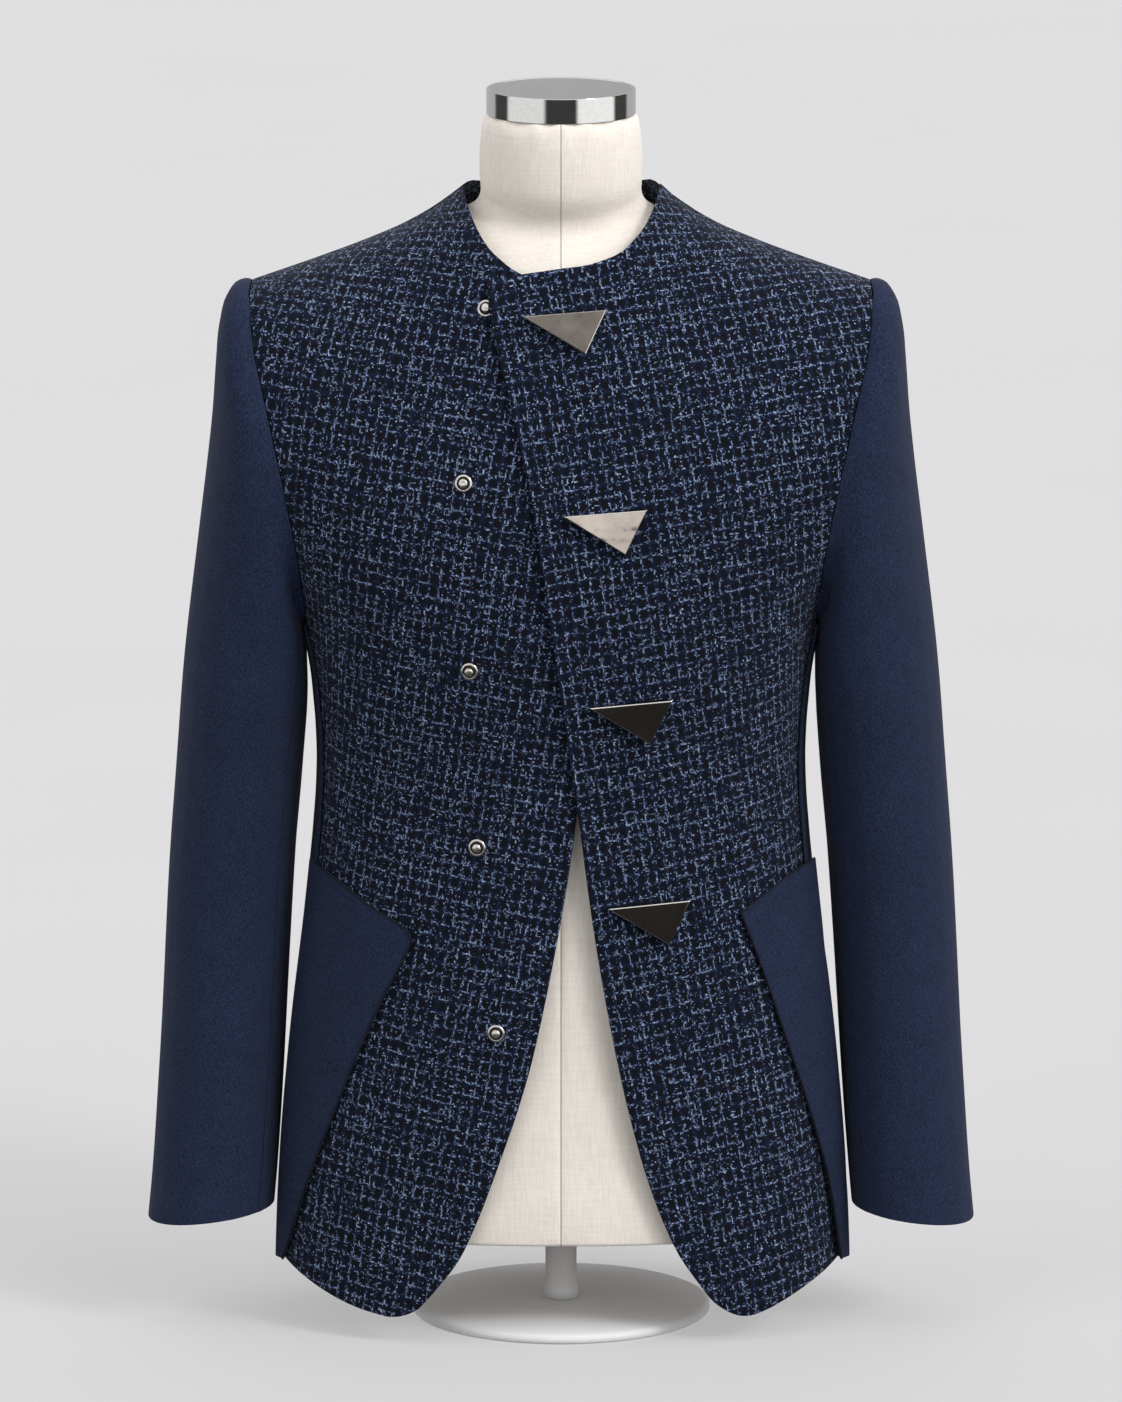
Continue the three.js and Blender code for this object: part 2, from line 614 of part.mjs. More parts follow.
const FOREARM_SEAM = THREE.MathUtils.degToRad(138);
const HINDARM_SEAM = THREE.MathUtils.degToRad(-112);
const rings = sleeveRings();
function sleevePiece(fromAngle, toAngle, steps, side) {
  const angles = [];
  for (let i = 0; i <= steps; i += 1) angles.push(THREE.MathUtils.lerp(fromAngle, toAngle, i / steps));
  const margin = 0.05;
  const outer = rings.map((ring) => angles.map((angle) => ring(angle)));
  const inner = rings.map((ring, r) => angles.map((angle, c) => {
    const around = ring(angle + margin).sub(ring(angle - margin));
    const next = rings[Math.min(r + 1, rings.length - 1)](angle);
    const along = next.sub(rings[Math.max(r - 1, 0)](angle));
    return outer[r][c].clone().addScaledVector(around.cross(along).normalize(), -WALL);
  }));
  const mirror = (grid) => grid.map((row) => row.map((p) => new THREE.Vector3(side * p.x, p.y, p.z)));
  return wallBetween(mirror(outer), mirror(inner));
}
const sleeveGap = SEAM / 2 / 60;
for (const [name, side] of [['right', -1], ['left', 1]]) {
  const top = sleevePiece(HINDARM_SEAM + sleeveGap, FOREARM_SEAM - sleeveGap, 14, side);
  const under = sleevePiece(FOREARM_SEAM + sleeveGap, 2 * Math.PI + HINDARM_SEAM - sleeveGap, 8, side);
  addPiece(`${name}_top_sleeve`, top, flannel);
  addPiece(`${name}_under_sleeve`, under, flannel);
}

// Places a hard piece flat on the cloth, with its own Z pointing out of it
function seatOn(mesh, at, out) {
  const { x: turn, y: level } = seenAt(at.x, at.z);
  const normal = figureNormal(turn, level);
  const sideways = new THREE.Vector3(0, 0, 1).cross(normal).normalize();
  const upward = normal.clone().cross(sideways);
  mesh.quaternion.setFromRotationMatrix(new THREE.Matrix4().makeBasis(sideways, upward, normal));
  mesh.position.copy(figurePoint(turn, level, out));
}

// Snap studs in a column on the right front: a round flange with a rim and a ball-headed post
const SNAP = { flange: 6.2, rim: 5.1, rimHeight: 1.7, flangeHeight: 1, neck: 2.5, ball: 3.2, height: 4.3 };
const SNAP_PLACES = [
  TOP_SNAP, { x: -67, z: 613 }, { x: -63, z: 482 }, { x: -58, z: 356 }, { x: -45, z: 225 },
];
function snapGeometry() {
  const profile = [
    [0, 0], [SNAP.flange, 0], [SNAP.flange, SNAP.flangeHeight], [SNAP.rim, SNAP.rimHeight],
    [SNAP.rim - 1.2, SNAP.flangeHeight], [SNAP.neck, SNAP.flangeHeight], [SNAP.neck, SNAP.height - 2],
    [SNAP.ball, SNAP.height - 1.3], [SNAP.ball * 0.72, SNAP.height - 0.3], [0, SNAP.height],
  ].map(([radius, height]) => new THREE.Vector2(radius, height));
  const geometry = new THREE.LatheGeometry(profile, 16);
  geometry.rotateX(Math.PI / 2);
  return geometry;
}
SNAP_PLACES.forEach((at, i) => {
  const mesh = addPiece(`snap_${i + 1}`, snapGeometry(), nickel);
  seatOn(mesh, at, SEAM);
});

// Triangular clasps in a column on the left front, with bevelled faces
const CLASP_CORNERS = [{ x: -30, z: 8 }, { x: 28, z: 12 }, { x: 13, z: -19 }];
const CLASP = { body: 2.2, bevel: 2, bevelWidth: 3.2 };
const CLASP_PLACES = [{ x: 3, z: 716 }, { x: 31, z: 584 }, { x: 48, z: 451 }, { x: 61, z: 307 }];
function claspGeometry() {
  const shape = new THREE.Shape(CLASP_CORNERS.map((corner) => new THREE.Vector2(corner.x, corner.z)));
  return new THREE.ExtrudeGeometry(shape, {
    depth: CLASP.body,
    bevelEnabled: true,
    bevelThickness: CLASP.bevel,
    bevelSize: CLASP.bevelWidth,
    bevelOffset: -CLASP.bevelWidth,
    bevelSegments: 1,
  });
}
CLASP_PLACES.forEach((at, i) => {
  const mesh = addPiece(`clasp_${i + 1}`, claspGeometry(), gunmetal);
  const { x: turn, y: level } = seenAt(at.x, at.z);
  seatOn(mesh, at, overlapLift(turn, level) + CLASP.bevel + LAY);
});

// The dress form: a smooth torso without limbs, inside the cloth and clear of it
const FORM = { bottom: 71, neckTop: 853.1, armPlate: 186, ease: 9, neckEase: 2, shoulderEase: 2.7, blend: 5 };
const FORM_NECK = [
  { z: 780, radius: 40 }, { z: 800, radius: 56 }, { z: 815, radius: 57 },
  { z: 839, radius: 55.6 }, { z: 853.1, radius: 53.3 },
];
const formNeckAt = tableCurve(FORM_NECK, 'z', 'radius');

// Whether a place lies inside the figure, drawn in by the form's ease
function insideForm(x, y, z) {
  const top = slopeAt(Math.abs(x) + FORM.neckEase) - FORM.shoulderEase;
  if (z >= top) return false;
  const height = Math.max(0, (z - UNDERARM) / (top - UNDERARM));
  const level = z <= UNDERARM ? z : UNDERARM + RISE * Math.asin(height ** (ROUNDNESS / 2));
  const across = Math.abs(x) / (halfWidthAt(level) - FORM.ease);
  if (across >= 1) return false;
  const closing = z <= UNDERARM ? 1 : (1 - height ** ROUNDNESS) ** (1 / ROUNDNESS);
  const along = (1 - across ** ROUNDNESS) ** (1 / ROUNDNESS);
  const depth = (y < 0 ? frontDepthAt(level) : backDepthAt(level)) - FORM.ease;
  const ridge = z <= UNDERARM ? 0 : RIDGE_DEPTH;
  const reach = (y < 0 ? -depth * along : depth * along) - ridge;
  return y < 0 ? y > ridge + reach * closing : y < ridge + reach * closing;
}

function formRadius(angle, z) {
  const [dx, dy] = [Math.cos(angle), Math.sin(angle)];
  let near = 0;
  let far = 400;
  for (let i = 0; i < 40; i += 1) {
    const middle = (near + far) / 2;
    if (insideForm(middle * dx, middle * dy, z)) near = middle;
    else far = middle;
  }
  const torso = Math.min(near, FORM.armPlate / Math.max(Math.abs(dx), 0.2));
  if (z < FORM_NECK[0].z) return torso;
  const neck = formNeckAt(z);
  const gap = torso - neck;
  return (torso + neck + Math.sqrt(gap * gap + FORM.blend ** 2)) / 2;
}

function formGeometry() {
  const around = 36;
  const heights = [FORM.bottom];
  for (let i = 1; i <= 10; i += 1) heights.push(THREE.MathUtils.lerp(FORM.bottom, 560, i / 10));
  heights.push(600, 640, 675, 705, 724, 738, 748, 756, 764, 772, 780, 788, 796, 804, 814, 830, FORM.neckTop);
  const places = [];
  for (const z of heights) {
    for (let i = 0; i < around; i += 1) {
      const angle = (i / around) * 2 * Math.PI;
      const radius = formRadius(angle, z);
      places.push(new THREE.Vector3(radius * Math.cos(angle), radius * Math.sin(angle), z));
    }
  }
  const faces = [];
  for (let r = 0; r < heights.length - 1; r += 1) {
    for (let i = 0; i < around; i += 1) {
      const next = (i + 1) % around;
      const [a, b, c, d] = [r * around + i, r * around + next, (r + 1) * around + next, (r + 1) * around + i];
      faces.push(a, b, c, a, c, d);
    }
  }
  const low = places.push(new THREE.Vector3(0, 0, FORM.bottom)) - 1;
  const high = places.push(new THREE.Vector3(0, 0, FORM.neckTop)) - 1;
  const last = (heights.length - 1) * around;
  for (let i = 0; i < around; i += 1) {
    const next = (i + 1) % around;
    faces.push(low, next, i, high, last + i, last + next);
  }
  return solidFrom(places, faces);
}
addPiece('form_torso', formGeometry(), linen);

// A turned piece from rows of radius and height
function turned(rows, segments) {
  const geometry = new THREE.LatheGeometry(rows.map(([r, z]) => new THREE.Vector2(r, z)), segments);
  geometry.rotateX(Math.PI / 2);
  return geometry;
}

// Chrome cap on the neck
const CAP = { radius: 51.8, bottom: 853.4, top: 870.8, edge: 1.6 };
addPiece('neck_cap', turned([
  [0, CAP.bottom], [CAP.radius - CAP.edge, CAP.bottom], [CAP.radius, CAP.bottom + CAP.edge],
  [CAP.radius, CAP.top - CAP.edge], [CAP.radius - CAP.edge, CAP.top], [0, CAP.top],
], 40), chrome);

// Short post and round foot that the form stands on
const FOOT = { radius: 105, height: 8, edge: 1.5 };
const POST_RADIUS = 12;
addPiece('stand_foot', turned([
  [0, 0], [FOOT.radius, 0], [FOOT.radius, FOOT.height - FOOT.edge],
  [FOOT.radius - FOOT.edge, FOOT.height], [0, FOOT.height],
], 48), enamel);
addPiece('stand_post', turned([
  [0, FOOT.height + SEAM], [POST_RADIUS, FOOT.height + SEAM],
  [POST_RADIUS, FORM.bottom - SEAM], [0, FORM.bottom - SEAM],
], 24), enamel);

// The whole object stands on the floor with its box centred on the origin
const box = new THREE.Box3().setFromObject(jacket, true);
const middle = box.getCenter(new THREE.Vector3());
jacket.position.set(-middle.x, -middle.y, -box.min.z);

export default jacket;
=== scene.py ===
import math

import bmesh
import bpy
from mathutils import Matrix, Vector
from mathutils.bvhtree import BVHTree


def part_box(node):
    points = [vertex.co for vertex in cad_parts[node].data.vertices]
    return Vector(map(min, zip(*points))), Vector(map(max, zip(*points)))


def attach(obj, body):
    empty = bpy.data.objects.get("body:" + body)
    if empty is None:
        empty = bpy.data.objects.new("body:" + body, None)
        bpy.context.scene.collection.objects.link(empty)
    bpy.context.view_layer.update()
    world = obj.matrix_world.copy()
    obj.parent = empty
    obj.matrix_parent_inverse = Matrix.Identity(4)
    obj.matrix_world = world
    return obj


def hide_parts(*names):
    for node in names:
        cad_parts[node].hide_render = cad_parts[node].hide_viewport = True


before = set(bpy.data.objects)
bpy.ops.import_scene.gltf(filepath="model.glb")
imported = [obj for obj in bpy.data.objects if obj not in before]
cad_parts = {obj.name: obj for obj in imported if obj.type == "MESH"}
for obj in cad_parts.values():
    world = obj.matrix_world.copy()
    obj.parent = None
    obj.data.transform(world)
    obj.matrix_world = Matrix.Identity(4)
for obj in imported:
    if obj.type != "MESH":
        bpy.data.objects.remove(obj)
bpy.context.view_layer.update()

MM = 0.001


# Dress form
# A smooth limbless torso in a cream linen cover, sewn together down the centre front and
# stretched over a hard shell. Its neck ends in a flat cut edge under the cap.
def srgb(red, green, blue):
    """A colour given as it looks on a screen, 0 to 255, in the shader's own scale."""
    parts = [value / 255 for value in (red, green, blue)]
    return tuple(p / 12.92 if p <= 0.04045 else ((p + 0.055) / 1.055) ** 2.4 for p in parts) + (1.0,)


class Wire:
    """A shader socket that takes part in Python sums."""

    def __init__(self, finish, socket):
        self.finish = finish
        self.socket = socket

    def maths(self, operation, *terms):
        return self.finish.node("ShaderNodeMath", {"operation": operation}, dict(enumerate(terms)))

    def __add__(self, other):
        return self.maths("ADD", self, other)

    __radd__ = __add__

    def __sub__(self, other):
        return self.maths("SUBTRACT", self, other)

    def __rsub__(self, other):
        return self.maths("SUBTRACT", other, self)

    def __mul__(self, other):
        return self.maths("MULTIPLY", self, other)

    __rmul__ = __mul__

    def __truediv__(self, other):
        return self.maths("DIVIDE", self, other)

    def floor(self):
        return self.maths("FLOOR", self)

    def fraction(self):
        return self.maths("FRACT", self)

    def size(self):
        return self.maths("ABSOLUTE", self)

    def sine(self):
        return self.maths("SINE", self)

    def turn_from(self, other):
        """The angle whose tangent is this over the other, in degrees."""
        return self.maths("ARCTAN2", self, other) * math.degrees(1)

    def below(self, limit):
        return self.maths("LESS_THAN", self, limit)

    def above(self, limit):
        return self.maths("GREATER_THAN", self, limit)

    def at_most_one(self):
        return self.maths("MINIMUM", self, 1.0)

    def or_more(self, other):
        return self.maths("MAXIMUM", self, other)

    def ease(self, low, high):
        """0 below low, 1 above high, and a soft step between them. low may be the greater."""
        settings = {"interpolation_type": "SMOOTHSTEP"}
        sockets = {"Value": self, "From Min": low, "From Max": high}
        return self.finish.node("ShaderNodeMapRange", settings, sockets)


class Finish:
    """One material, built node by node round a Principled surface."""

    def __init__(self, name, **constants):
        self.material = bpy.data.materials.new(name)
        self.material.use_nodes = True
        self.tree = self.material.node_tree
        self.tree.nodes.clear()
        self.output = self.tree.nodes.new("ShaderNodeOutputMaterial")
        self.surface = self.tree.nodes.new("ShaderNodeBsdfPrincipled")
        self.tree.links.new(self.surface.outputs[0], self.output.inputs[0])
        self.set(**constants)

    def set(self, **values):
        """Sets or links the surface's sockets, written with _ for each space."""
        for key, value in values.items():
            socket = self.surface.inputs[key.replace("_", " ")]
            if isinstance(value, Wire):
                self.tree.links.new(value.socket, socket)
            else:
                socket.default_value = value

    def node(self, kind, settings=None, sockets=None, output=0):
        made = self.tree.nodes.new(kind)
        for key, value in (settings or {}).items():
            setattr(made, key, value)
        for key, value in (sockets or {}).items():
            if isinstance(value, Wire):
                self.tree.links.new(value.socket, made.inputs[key])
            else:
                made.inputs[key].default_value = value
        return Wire(self, made.outputs[output])

    def split(self, vector):
        parts = self.node("ShaderNodeSeparateXYZ", None, {0: vector})
        return [Wire(self, socket) for socket in parts.socket.node.outputs]

    def join(self, x=0.0, y=0.0, z=0.0):
        return self.node("ShaderNodeCombineXYZ", None, {0: x, 1: y, 2: z})

    def places(self):
        """Object coordinates in millimetres."""
        whole = self.node("ShaderNodeTexCoord", None, None, "Object")
        return [part * 1000 for part in self.split(whole)]

    def cut_places(self):
        """Places on the cloth's flat cut in millimetres: across the warp, and along it."""
        flat = self.node("ShaderNodeUVMap", {"uv_map": "cut"})
        across, along, _ = self.split(flat)
        return across * 1000, along * 1000

    def chance(self, *key):
        """Three even chances from 0 to 1 that hang on up to three whole numbers."""
        settings = {"noise_dimensions": "3D"}
        draw = self.node("ShaderNodeTexWhiteNoise", settings, {"Vector": self.join(*key)}, "Color")
        return self.split(draw)

    def noise(self, vector, scale, detail=2.0, rough=0.5):
        sockets = {"Vector": vector, "Scale": scale, "Detail": detail, "Roughness": rough}
        return self.node("ShaderNodeTexNoise", {"noise_dimensions": "3D"}, sockets)

    def mix(self, factor, first, second):
        settings = {"data_type": "RGBA", "clamp_factor": True}
        return self.node("ShaderNodeMix", settings, {0: factor, 6: first, 7: second}, 2)

    def bump(self, height, distance, strength=1.0):
        sockets = {"Height": height, "Distance": distance, "Strength": strength}
        return self.node("ShaderNodeBump", None, sockets)


LINEN_THREAD = 0.62
# Half the width of the painted shade line along the front seam, in millimetres
SEAM_SHADE_HALF = 0.25


def linen_finish():
    linen = Finish("cream_linen", Specular_IOR_Level=0.25, Sheen_Weight=0.06)
    x, y, z = linen.places()
    slub = linen.noise(linen.join(x * 0.9, y * 0.9, z * 0.06), 1.0)
    weft_slub = linen.noise(linen.join(x * 0.06, y * 0.06, z * 0.9), 1.0)
    warp = ((x - y * 0.6) * (math.tau / LINEN_THREAD)).sine()
    weft = (z * (math.tau / LINEN_THREAD)).sine()
    weave = warp * weft * 0.5 + 0.5
    stain = linen.noise(linen.join(x, y, z), 0.012)
    tone = slub * 0.5 + weft_slub * 0.3 + stain * 0.2
    pale = linen.mix(tone.ease(0.3, 0.7), srgb(235, 226, 215), srgb(249, 243, 235))
    woven = linen.mix(weave * 0.18, pale, srgb(190, 176, 160))
    # The dark line down the front seam is painted shade: the seam's shadow painted into the linen's colour,
    # beside the real groove
    seam = x.size().ease(SEAM_SHADE_HALF + 0.35, SEAM_SHADE_HALF) * y.below(0)
    linen.set(Base_Color=linen.mix(seam * 0.7, woven, srgb(126, 112, 98)))
    linen.set(Roughness=0.86 + slub * 0.1)
    linen.set(Normal=linen.bump(weave * 0.5 + slub + weft_slub, 0.00022, 0.5))
    return linen.material


def merged_copy(node):
    """A node's mesh as a bmesh, with its points merged and its triangle pairs joined."""
    shape = bmesh.new()
    shape.from_mesh(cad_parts[node].data)
    bmesh.ops.remove_doubles(shape, verts=shape.verts, dist=0.02 * MM)
    bmesh.ops.join_triangles(
        shape, faces=shape.faces, angle_face_threshold=math.pi, angle_shape_threshold=math.pi
    )
    return shape


def finished_piece(name, shape, *materials):
    mesh = bpy.data.meshes.new(name)
    shape.to_mesh(mesh)
    shape.free()
    for face in mesh.polygons:
        face.use_smooth = True
    for material in materials:
        mesh.materials.append(material)
    piece = bpy.data.objects.new(name, mesh)
    bpy.context.scene.collection.objects.link(piece)
    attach(piece, "root")
    return piece


def rounded(piece, levels):
    smooth = piece.modifiers.new("rounded", "SUBSURF")
    smooth.levels = levels
    smooth.render_levels = levels


SEAM_GROOVE = 1.1 * MM
SEAM_WIDTH = 0.9 * MM
FORM_EDGE = 3 * MM
POST_HOLE = 20 * MM
FRONT_DEPTH = 30 * MM
NECK_BASE = 740 * MM
NECK_SMOOTHINGS = 8


def build_form():
    """The torso, with a rounded bottom edge, a groove down its front seam and a smooth neck."""
    shape = merged_copy("form_torso")
    axis = (Vector(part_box("stand_post")[0]) + Vector(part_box("stand_post")[1])) / 2
    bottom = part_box("form_torso")[0][2]
    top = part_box("form_torso")[1][2]

    def on_seam(vert):
        return abs(vert.co.x - axis.x) < 0.2 * MM and vert.co.y < axis.y - FRONT_DEPTH

    rim = [
        edge
        for edge in shape.edges
        if all(abs(v.co.z - bottom) < 0.1 * MM and (v.co - axis).xy.length > POST_HOLE for v in edge.verts)
        and len({face.normal.z < -0.9 for face in edge.link_faces}) == 2
    ]
    bmesh.ops.bevel(shape, geom=rim, offset=FORM_EDGE, segments=3, affect="EDGES", profile=0.5, material=-1)
    bmesh.ops.subdivide_edges(shape, edges=shape.edges, cuts=1, smooth=1.0, use_grid_fill=True)
    seam = [
        edge
        for edge in shape.edges
        if all(on_seam(vert) for vert in edge.verts) and abs(edge.verts[0].co.z - edge.verts[1].co.z) > 1 * MM
    ]
    bmesh.ops.bevel(shape, geom=seam, offset=SEAM_WIDTH, segments=2, affect="EDGES", profile=0.5, material=-1)
    for vert in shape.verts:
        if on_seam(vert):
            vert.co.y += SEAM_GROOVE
    neck = [vert for vert in shape.verts if NECK_BASE < vert.co.z < top - 0.5 * MM]
    for _ in range(NECK_SMOOTHINGS):
        bmesh.ops.smooth_vert(
            shape, verts=neck, factor=0.5, use_axis_x=True, use_axis_y=True, use_axis_z=False,
            mirror_clip_x=False, mirror_clip_y=False, mirror_clip_z=False, clip_dist=0,
        )
    form = finished_piece("linen_form", shape, linen_finish())
    rounded(form, 1)
    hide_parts("form_torso")


build_form()


# Neck cap
# A turned metal disc that closes the form's neck. Its band is polished like a mirror, and its
# top is brushed to a soft grey.
def chrome_finish():
    chrome = Finish("polished_chrome", Metallic=1.0)
    x, y, z = chrome.places()
    haze = chrome.noise(chrome.join(x, y, z), 0.35)
    chrome.set(Base_Color=chrome.mix(haze, srgb(214, 213, 211), srgb(232, 231, 229)))
    chrome.set(Roughness=0.05 + haze.ease(0.4, 0.8) * 0.06)
    return chrome.material


def brushed_finish():
    brushed = Finish("brushed_chrome", Metallic=0.85)
    x, y, z = brushed.places()
    grain = brushed.noise(brushed.join(x * 4, y * 0.05, z * 0.05), 1.0, 3.0)
    brushed.set(Base_Color=brushed.mix(grain, srgb(158, 157, 157), srgb(186, 185, 185)))
    brushed.set(Roughness=0.42 + grain * 0.14)
    brushed.set(Normal=brushed.bump(grain, 0.00004, 0.5))
    return brushed.material


def turned_shape(profile, steps, seat=Matrix.Identity(4)):
    """A lathe-turned body: profile rows of radius and height in metres, spun round local Z."""
    shape = bmesh.new()
    line = [shape.verts.new((radius, 0, height)) for radius, height in profile]
    edges = [shape.edges.new(pair) for pair in zip(line, line[1:])]
    bmesh.ops.spin(
        shape, geom=line + edges, cent=(0, 0, 0), axis=(0, 0, 1), angle=math.tau, steps=steps, use_merge=True
    )
    bmesh.ops.remove_doubles(shape, verts=shape.verts, dist=0.005 * MM)
    bmesh.ops.recalc_face_normals(shape, faces=shape.faces)
    bmesh.ops.transform(shape, matrix=seat, verts=shape.verts)
    return shape


def ease_corners(shape, width, segments, least=35):
    corners = [edge for edge in shape.edges if edge.calc_face_angle(0) > math.radians(least)]
    bmesh.ops.bevel(
        shape, geom=corners, offset=width, segments=segments, affect="EDGES", profile=0.5, material=-1
    )


CHROME = chrome_finish()
BRUSHED = brushed_finish()


def build_cap():
    low, high = (Vector(corner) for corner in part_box("neck_cap"))
    centre = (low + high) / 2
    radius = (high.x - low.x) / 2
    height = high.z - low.z
    lip = 0.5 * MM
    profile = [
        (0, 0), (radius, 0), (radius, height), (radius - 1.6 * MM, height),
        (radius - 2.2 * MM, height - lip), (0, height - lip),
    ]
    shape = turned_shape(profile, 128, Matrix.Translation((centre.x, centre.y, low.z)))
    ease_corners(shape, 0.35 * MM, 2)
    shape.normal_update()
    for edge in shape.edges:
        edge.smooth = edge.calc_face_angle(0) < math.radians(15)
    for face in shape.faces:
        middle = face.calc_center_median() - centre
        if face.normal.z > 0.9 and middle.xy.length < radius - 1.8 * MM:
            face.material_index = 1
    cap = finished_piece("neck_cap_disc", shape, CHROME, BRUSHED)
    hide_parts("neck_cap")


build_cap()


# Stand
# The end of the form's stand: a short tube under the torso in a low weighted foot, both in
# pale grey satin enamel, so that the jacket stands on the floor.
def enamel_finish():
    enamel = Finish("pale_enamel", Specular_IOR_Level=0.4)
    x, y, z = enamel.places()
    peel = enamel.noise(enamel.join(x, y, z), 0.25)
    cloud = enamel.noise(enamel.join(x, y, z), 0.02)
    enamel.set(Base_Color=enamel.mix(cloud, srgb(219, 219, 220), srgb(227, 227, 228)))
    enamel.set(Roughness=0.46 + peel * 0.12)
    enamel.set(Normal=enamel.bump(peel, 0.00003, 0.4))
    return enamel.material


ENAMEL = enamel_finish()


def build_stand_part(name, node, steps, profile_for):
    low, high = (Vector(corner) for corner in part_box(node))
    centre = (low + high) / 2
    profile = profile_for((high.x - low.x) / 2, high.z - low.z)
    seat = Matrix.Translation((centre.x, centre.y, low.z))
    part = finished_piece(name, turned_shape(profile, steps, seat), ENAMEL)
    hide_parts(node)


def foot_profile(radius, height):
    """Low at the rim, with a rounded edge, and nearly flat in the middle."""
    rise = 1.2 * MM
    return [
        (0, 0), (radius - 1 * MM, 0), (radius, 1 * MM), (radius, height - 3 * MM),
        (radius - 4 * MM, height - rise), (radius - 40 * MM, height), (0, height),
    ]


def post_profile(radius, height):
    """A thin collar at the foot, then the tube."""
    collar = 1 * MM
    return [
        (0, 0), (radius, 0), (radius, 9 * MM),
        (radius - collar, 10 * MM), (radius - collar, height), (0, height),
    ]


build_stand_part("stand_foot_plate", "stand_foot", 128, foot_profile)
build_stand_part("stand_post_tube", "stand_post", 64, post_profile)


# Back, tweed
# One broad panel from side seam to side seam, with the back half of the low neck stand grown
# on. It is cut from a navy tweed with a broken check of pale slubs.
ROW_STEP = 4.45
COLUMN_STEP = 3.7
BAND_HALF = 2.2
SLUB_HALF = 0.3
TWEED_BLACK = srgb(7, 9, 15)
TWEED_NAVY = srgb(14, 24, 49)
TWEED_PALE = srgb(172, 194, 228)
TWEED_BLUE = srgb(52, 75, 126)


def even(line):
    """1 on every second line, 0 on the others."""
    return 1 - (line / 2).fraction() * 2


def quiet(line):
    """1 on two lines of every four, 0 on the other two."""
    return (line / 4).fraction().above(0.4)


def band(place, step):
    """1 along every second line, fading to 0 halfway to the next such line."""
    return ((place / (step * 2) + 0.5).fraction() - 0.5).size().ease(BAND_HALF / step / 2, 0.3 / step)


def slubs(tweed, run, side, run_step, side_step, likely, seed):
    """Short pale stretches of thread, each from one crossing towards the next: how strongly they show."""
    line = (side / side_step + 0.5).floor()
    cell = (run / run_step).floor()
    shown, hop, reach = tweed.chance(line, cell, seed)
    body = (side - line * side_step + (hop - 0.5) * 1.1).size().ease(SLUB_HALF + 0.26, SLUB_HALF - 0.26)
    place = (run / run_step).fraction()
    ends = place.ease(reach * 0.45 + 0.55, reach * 0.45 + 0.3) * place.ease(-0.1, 0.16)
    return body * ends * shown.below(likely(line, cell)) * (0.34 + reach * 0.66) * (1.15 - place * 0.55)


def tweed_finish():
    """Blue bands on every second line both ways, dark squares between them, and pale slubs."""
    tweed = Finish("navy_tweed", Specular_IOR_Level=0.15, Sheen_Weight=0.05, Sheen_Roughness=0.5)
    across, along = tweed.cut_places()
    wander = tweed.node(
        "ShaderNodeTexNoise", {"noise_dimensions": "2D"},
        {"Vector": tweed.join(across, along), "Scale": 0.16, "Detail": 1.0}, "Color",
    )
    ragged = tweed.node(
        "ShaderNodeTexNoise", {"noise_dimensions": "2D"},
        {"Vector": tweed.join(across, along), "Scale": 0.75, "Detail": 1.0}, "Color",
    )
    drift_x, drift_y, _ = tweed.split(wander)
    rag_x, rag_y, _ = tweed.split(ragged)
    u = across + (drift_x - 0.5) * 1.4 + (rag_x - 0.5) * 1.5
    v = along + (drift_y - 0.5) * 1.4 + (rag_y - 0.5) * 1.5

    def row_likely(row, column):
        hook = even(row) * even(column)
        still = quiet(row) * quiet(column)
        return hook * 0.42 + even(row) * 0.2 + 0.17 - still * 0.14

    def column_likely(column, row):
        hook = even(row) * even(column)
        still = quiet(row) * quiet(column)
        return hook * 0.4 + even(column) * 0.2 + 0.17 - still * 0.14

    weft = slubs(tweed, u, v, COLUMN_STEP, ROW_STEP, row_likely, 11.0)
    warp = slubs(tweed, v, u, ROW_STEP, COLUMN_STEP, column_likely, 23.0)
    speck_u, speck_v = u / 1.25, v / 1.25
    spot, size, tint = tweed.chance(speck_u.floor(), speck_v.floor(), 41.0)
    spread = (speck_u.fraction() - 0.5) * (speck_u.fraction() - 0.5)
    spread = spread + (speck_v.fraction() - 0.5) * (speck_v.fraction() - 0.5)
    bands = band(u, COLUMN_STEP).or_more(band(v, ROW_STEP))
    specks = spread.ease(0.2, 0.04) * spot.below(bands * 0.2 + 0.05) * (0.25 + size * 0.75)
    pale = weft.or_more(warp).or_more(specks)

    thread_u, thread_v = u / 0.95, v / 0.95
    mottle, _, _ = tweed.chance(thread_u.floor(), thread_v.floor(), 5.0)
    cloud = tweed.noise(tweed.join(across, along), 0.05)
    blue = bands * (0.45 + mottle * 0.55) + mottle * 0.2 + (cloud - 0.5) * 0.4
    ground = tweed.mix(blue, TWEED_BLACK, TWEED_NAVY)
    slub_colour = tweed.mix(tint * 0.8, TWEED_PALE, TWEED_BLUE)
    tweed.set(Base_Color=tweed.mix(pale, ground, slub_colour))
    tweed.set(Roughness=0.92 - pale * 0.12)
    weave = (thread_u.fraction() - 0.5).size() + (thread_v.fraction() - 0.5).size()
    fuzz = tweed.noise(tweed.join(across, along), 1.6, 3.0)
    tweed.set(Normal=tweed.bump(pale * 0.8 + mottle * 0.25 + fuzz * 0.4 - weave * 0.35, 0.00032, 0.7))
    return tweed.material


def turned_edge_shade_finish():
    """The folded edge wall of the tweed: its dark ground threads, darkened further by painted shade so the edge
    shows as a shadow line.
    """
    edge = Finish("tweed_turned_edge_and_shade", Specular_IOR_Level=0.15)
    x, y, z = edge.places()
    fleck = edge.noise(edge.join(x, y, z), 0.9)
    edge.set(Base_Color=edge.mix(fleck.ease(0.45, 0.7), srgb(11, 12, 17), srgb(30, 37, 56)))
    edge.set(Roughness=0.9 + fleck * 0.05)
    return edge.material


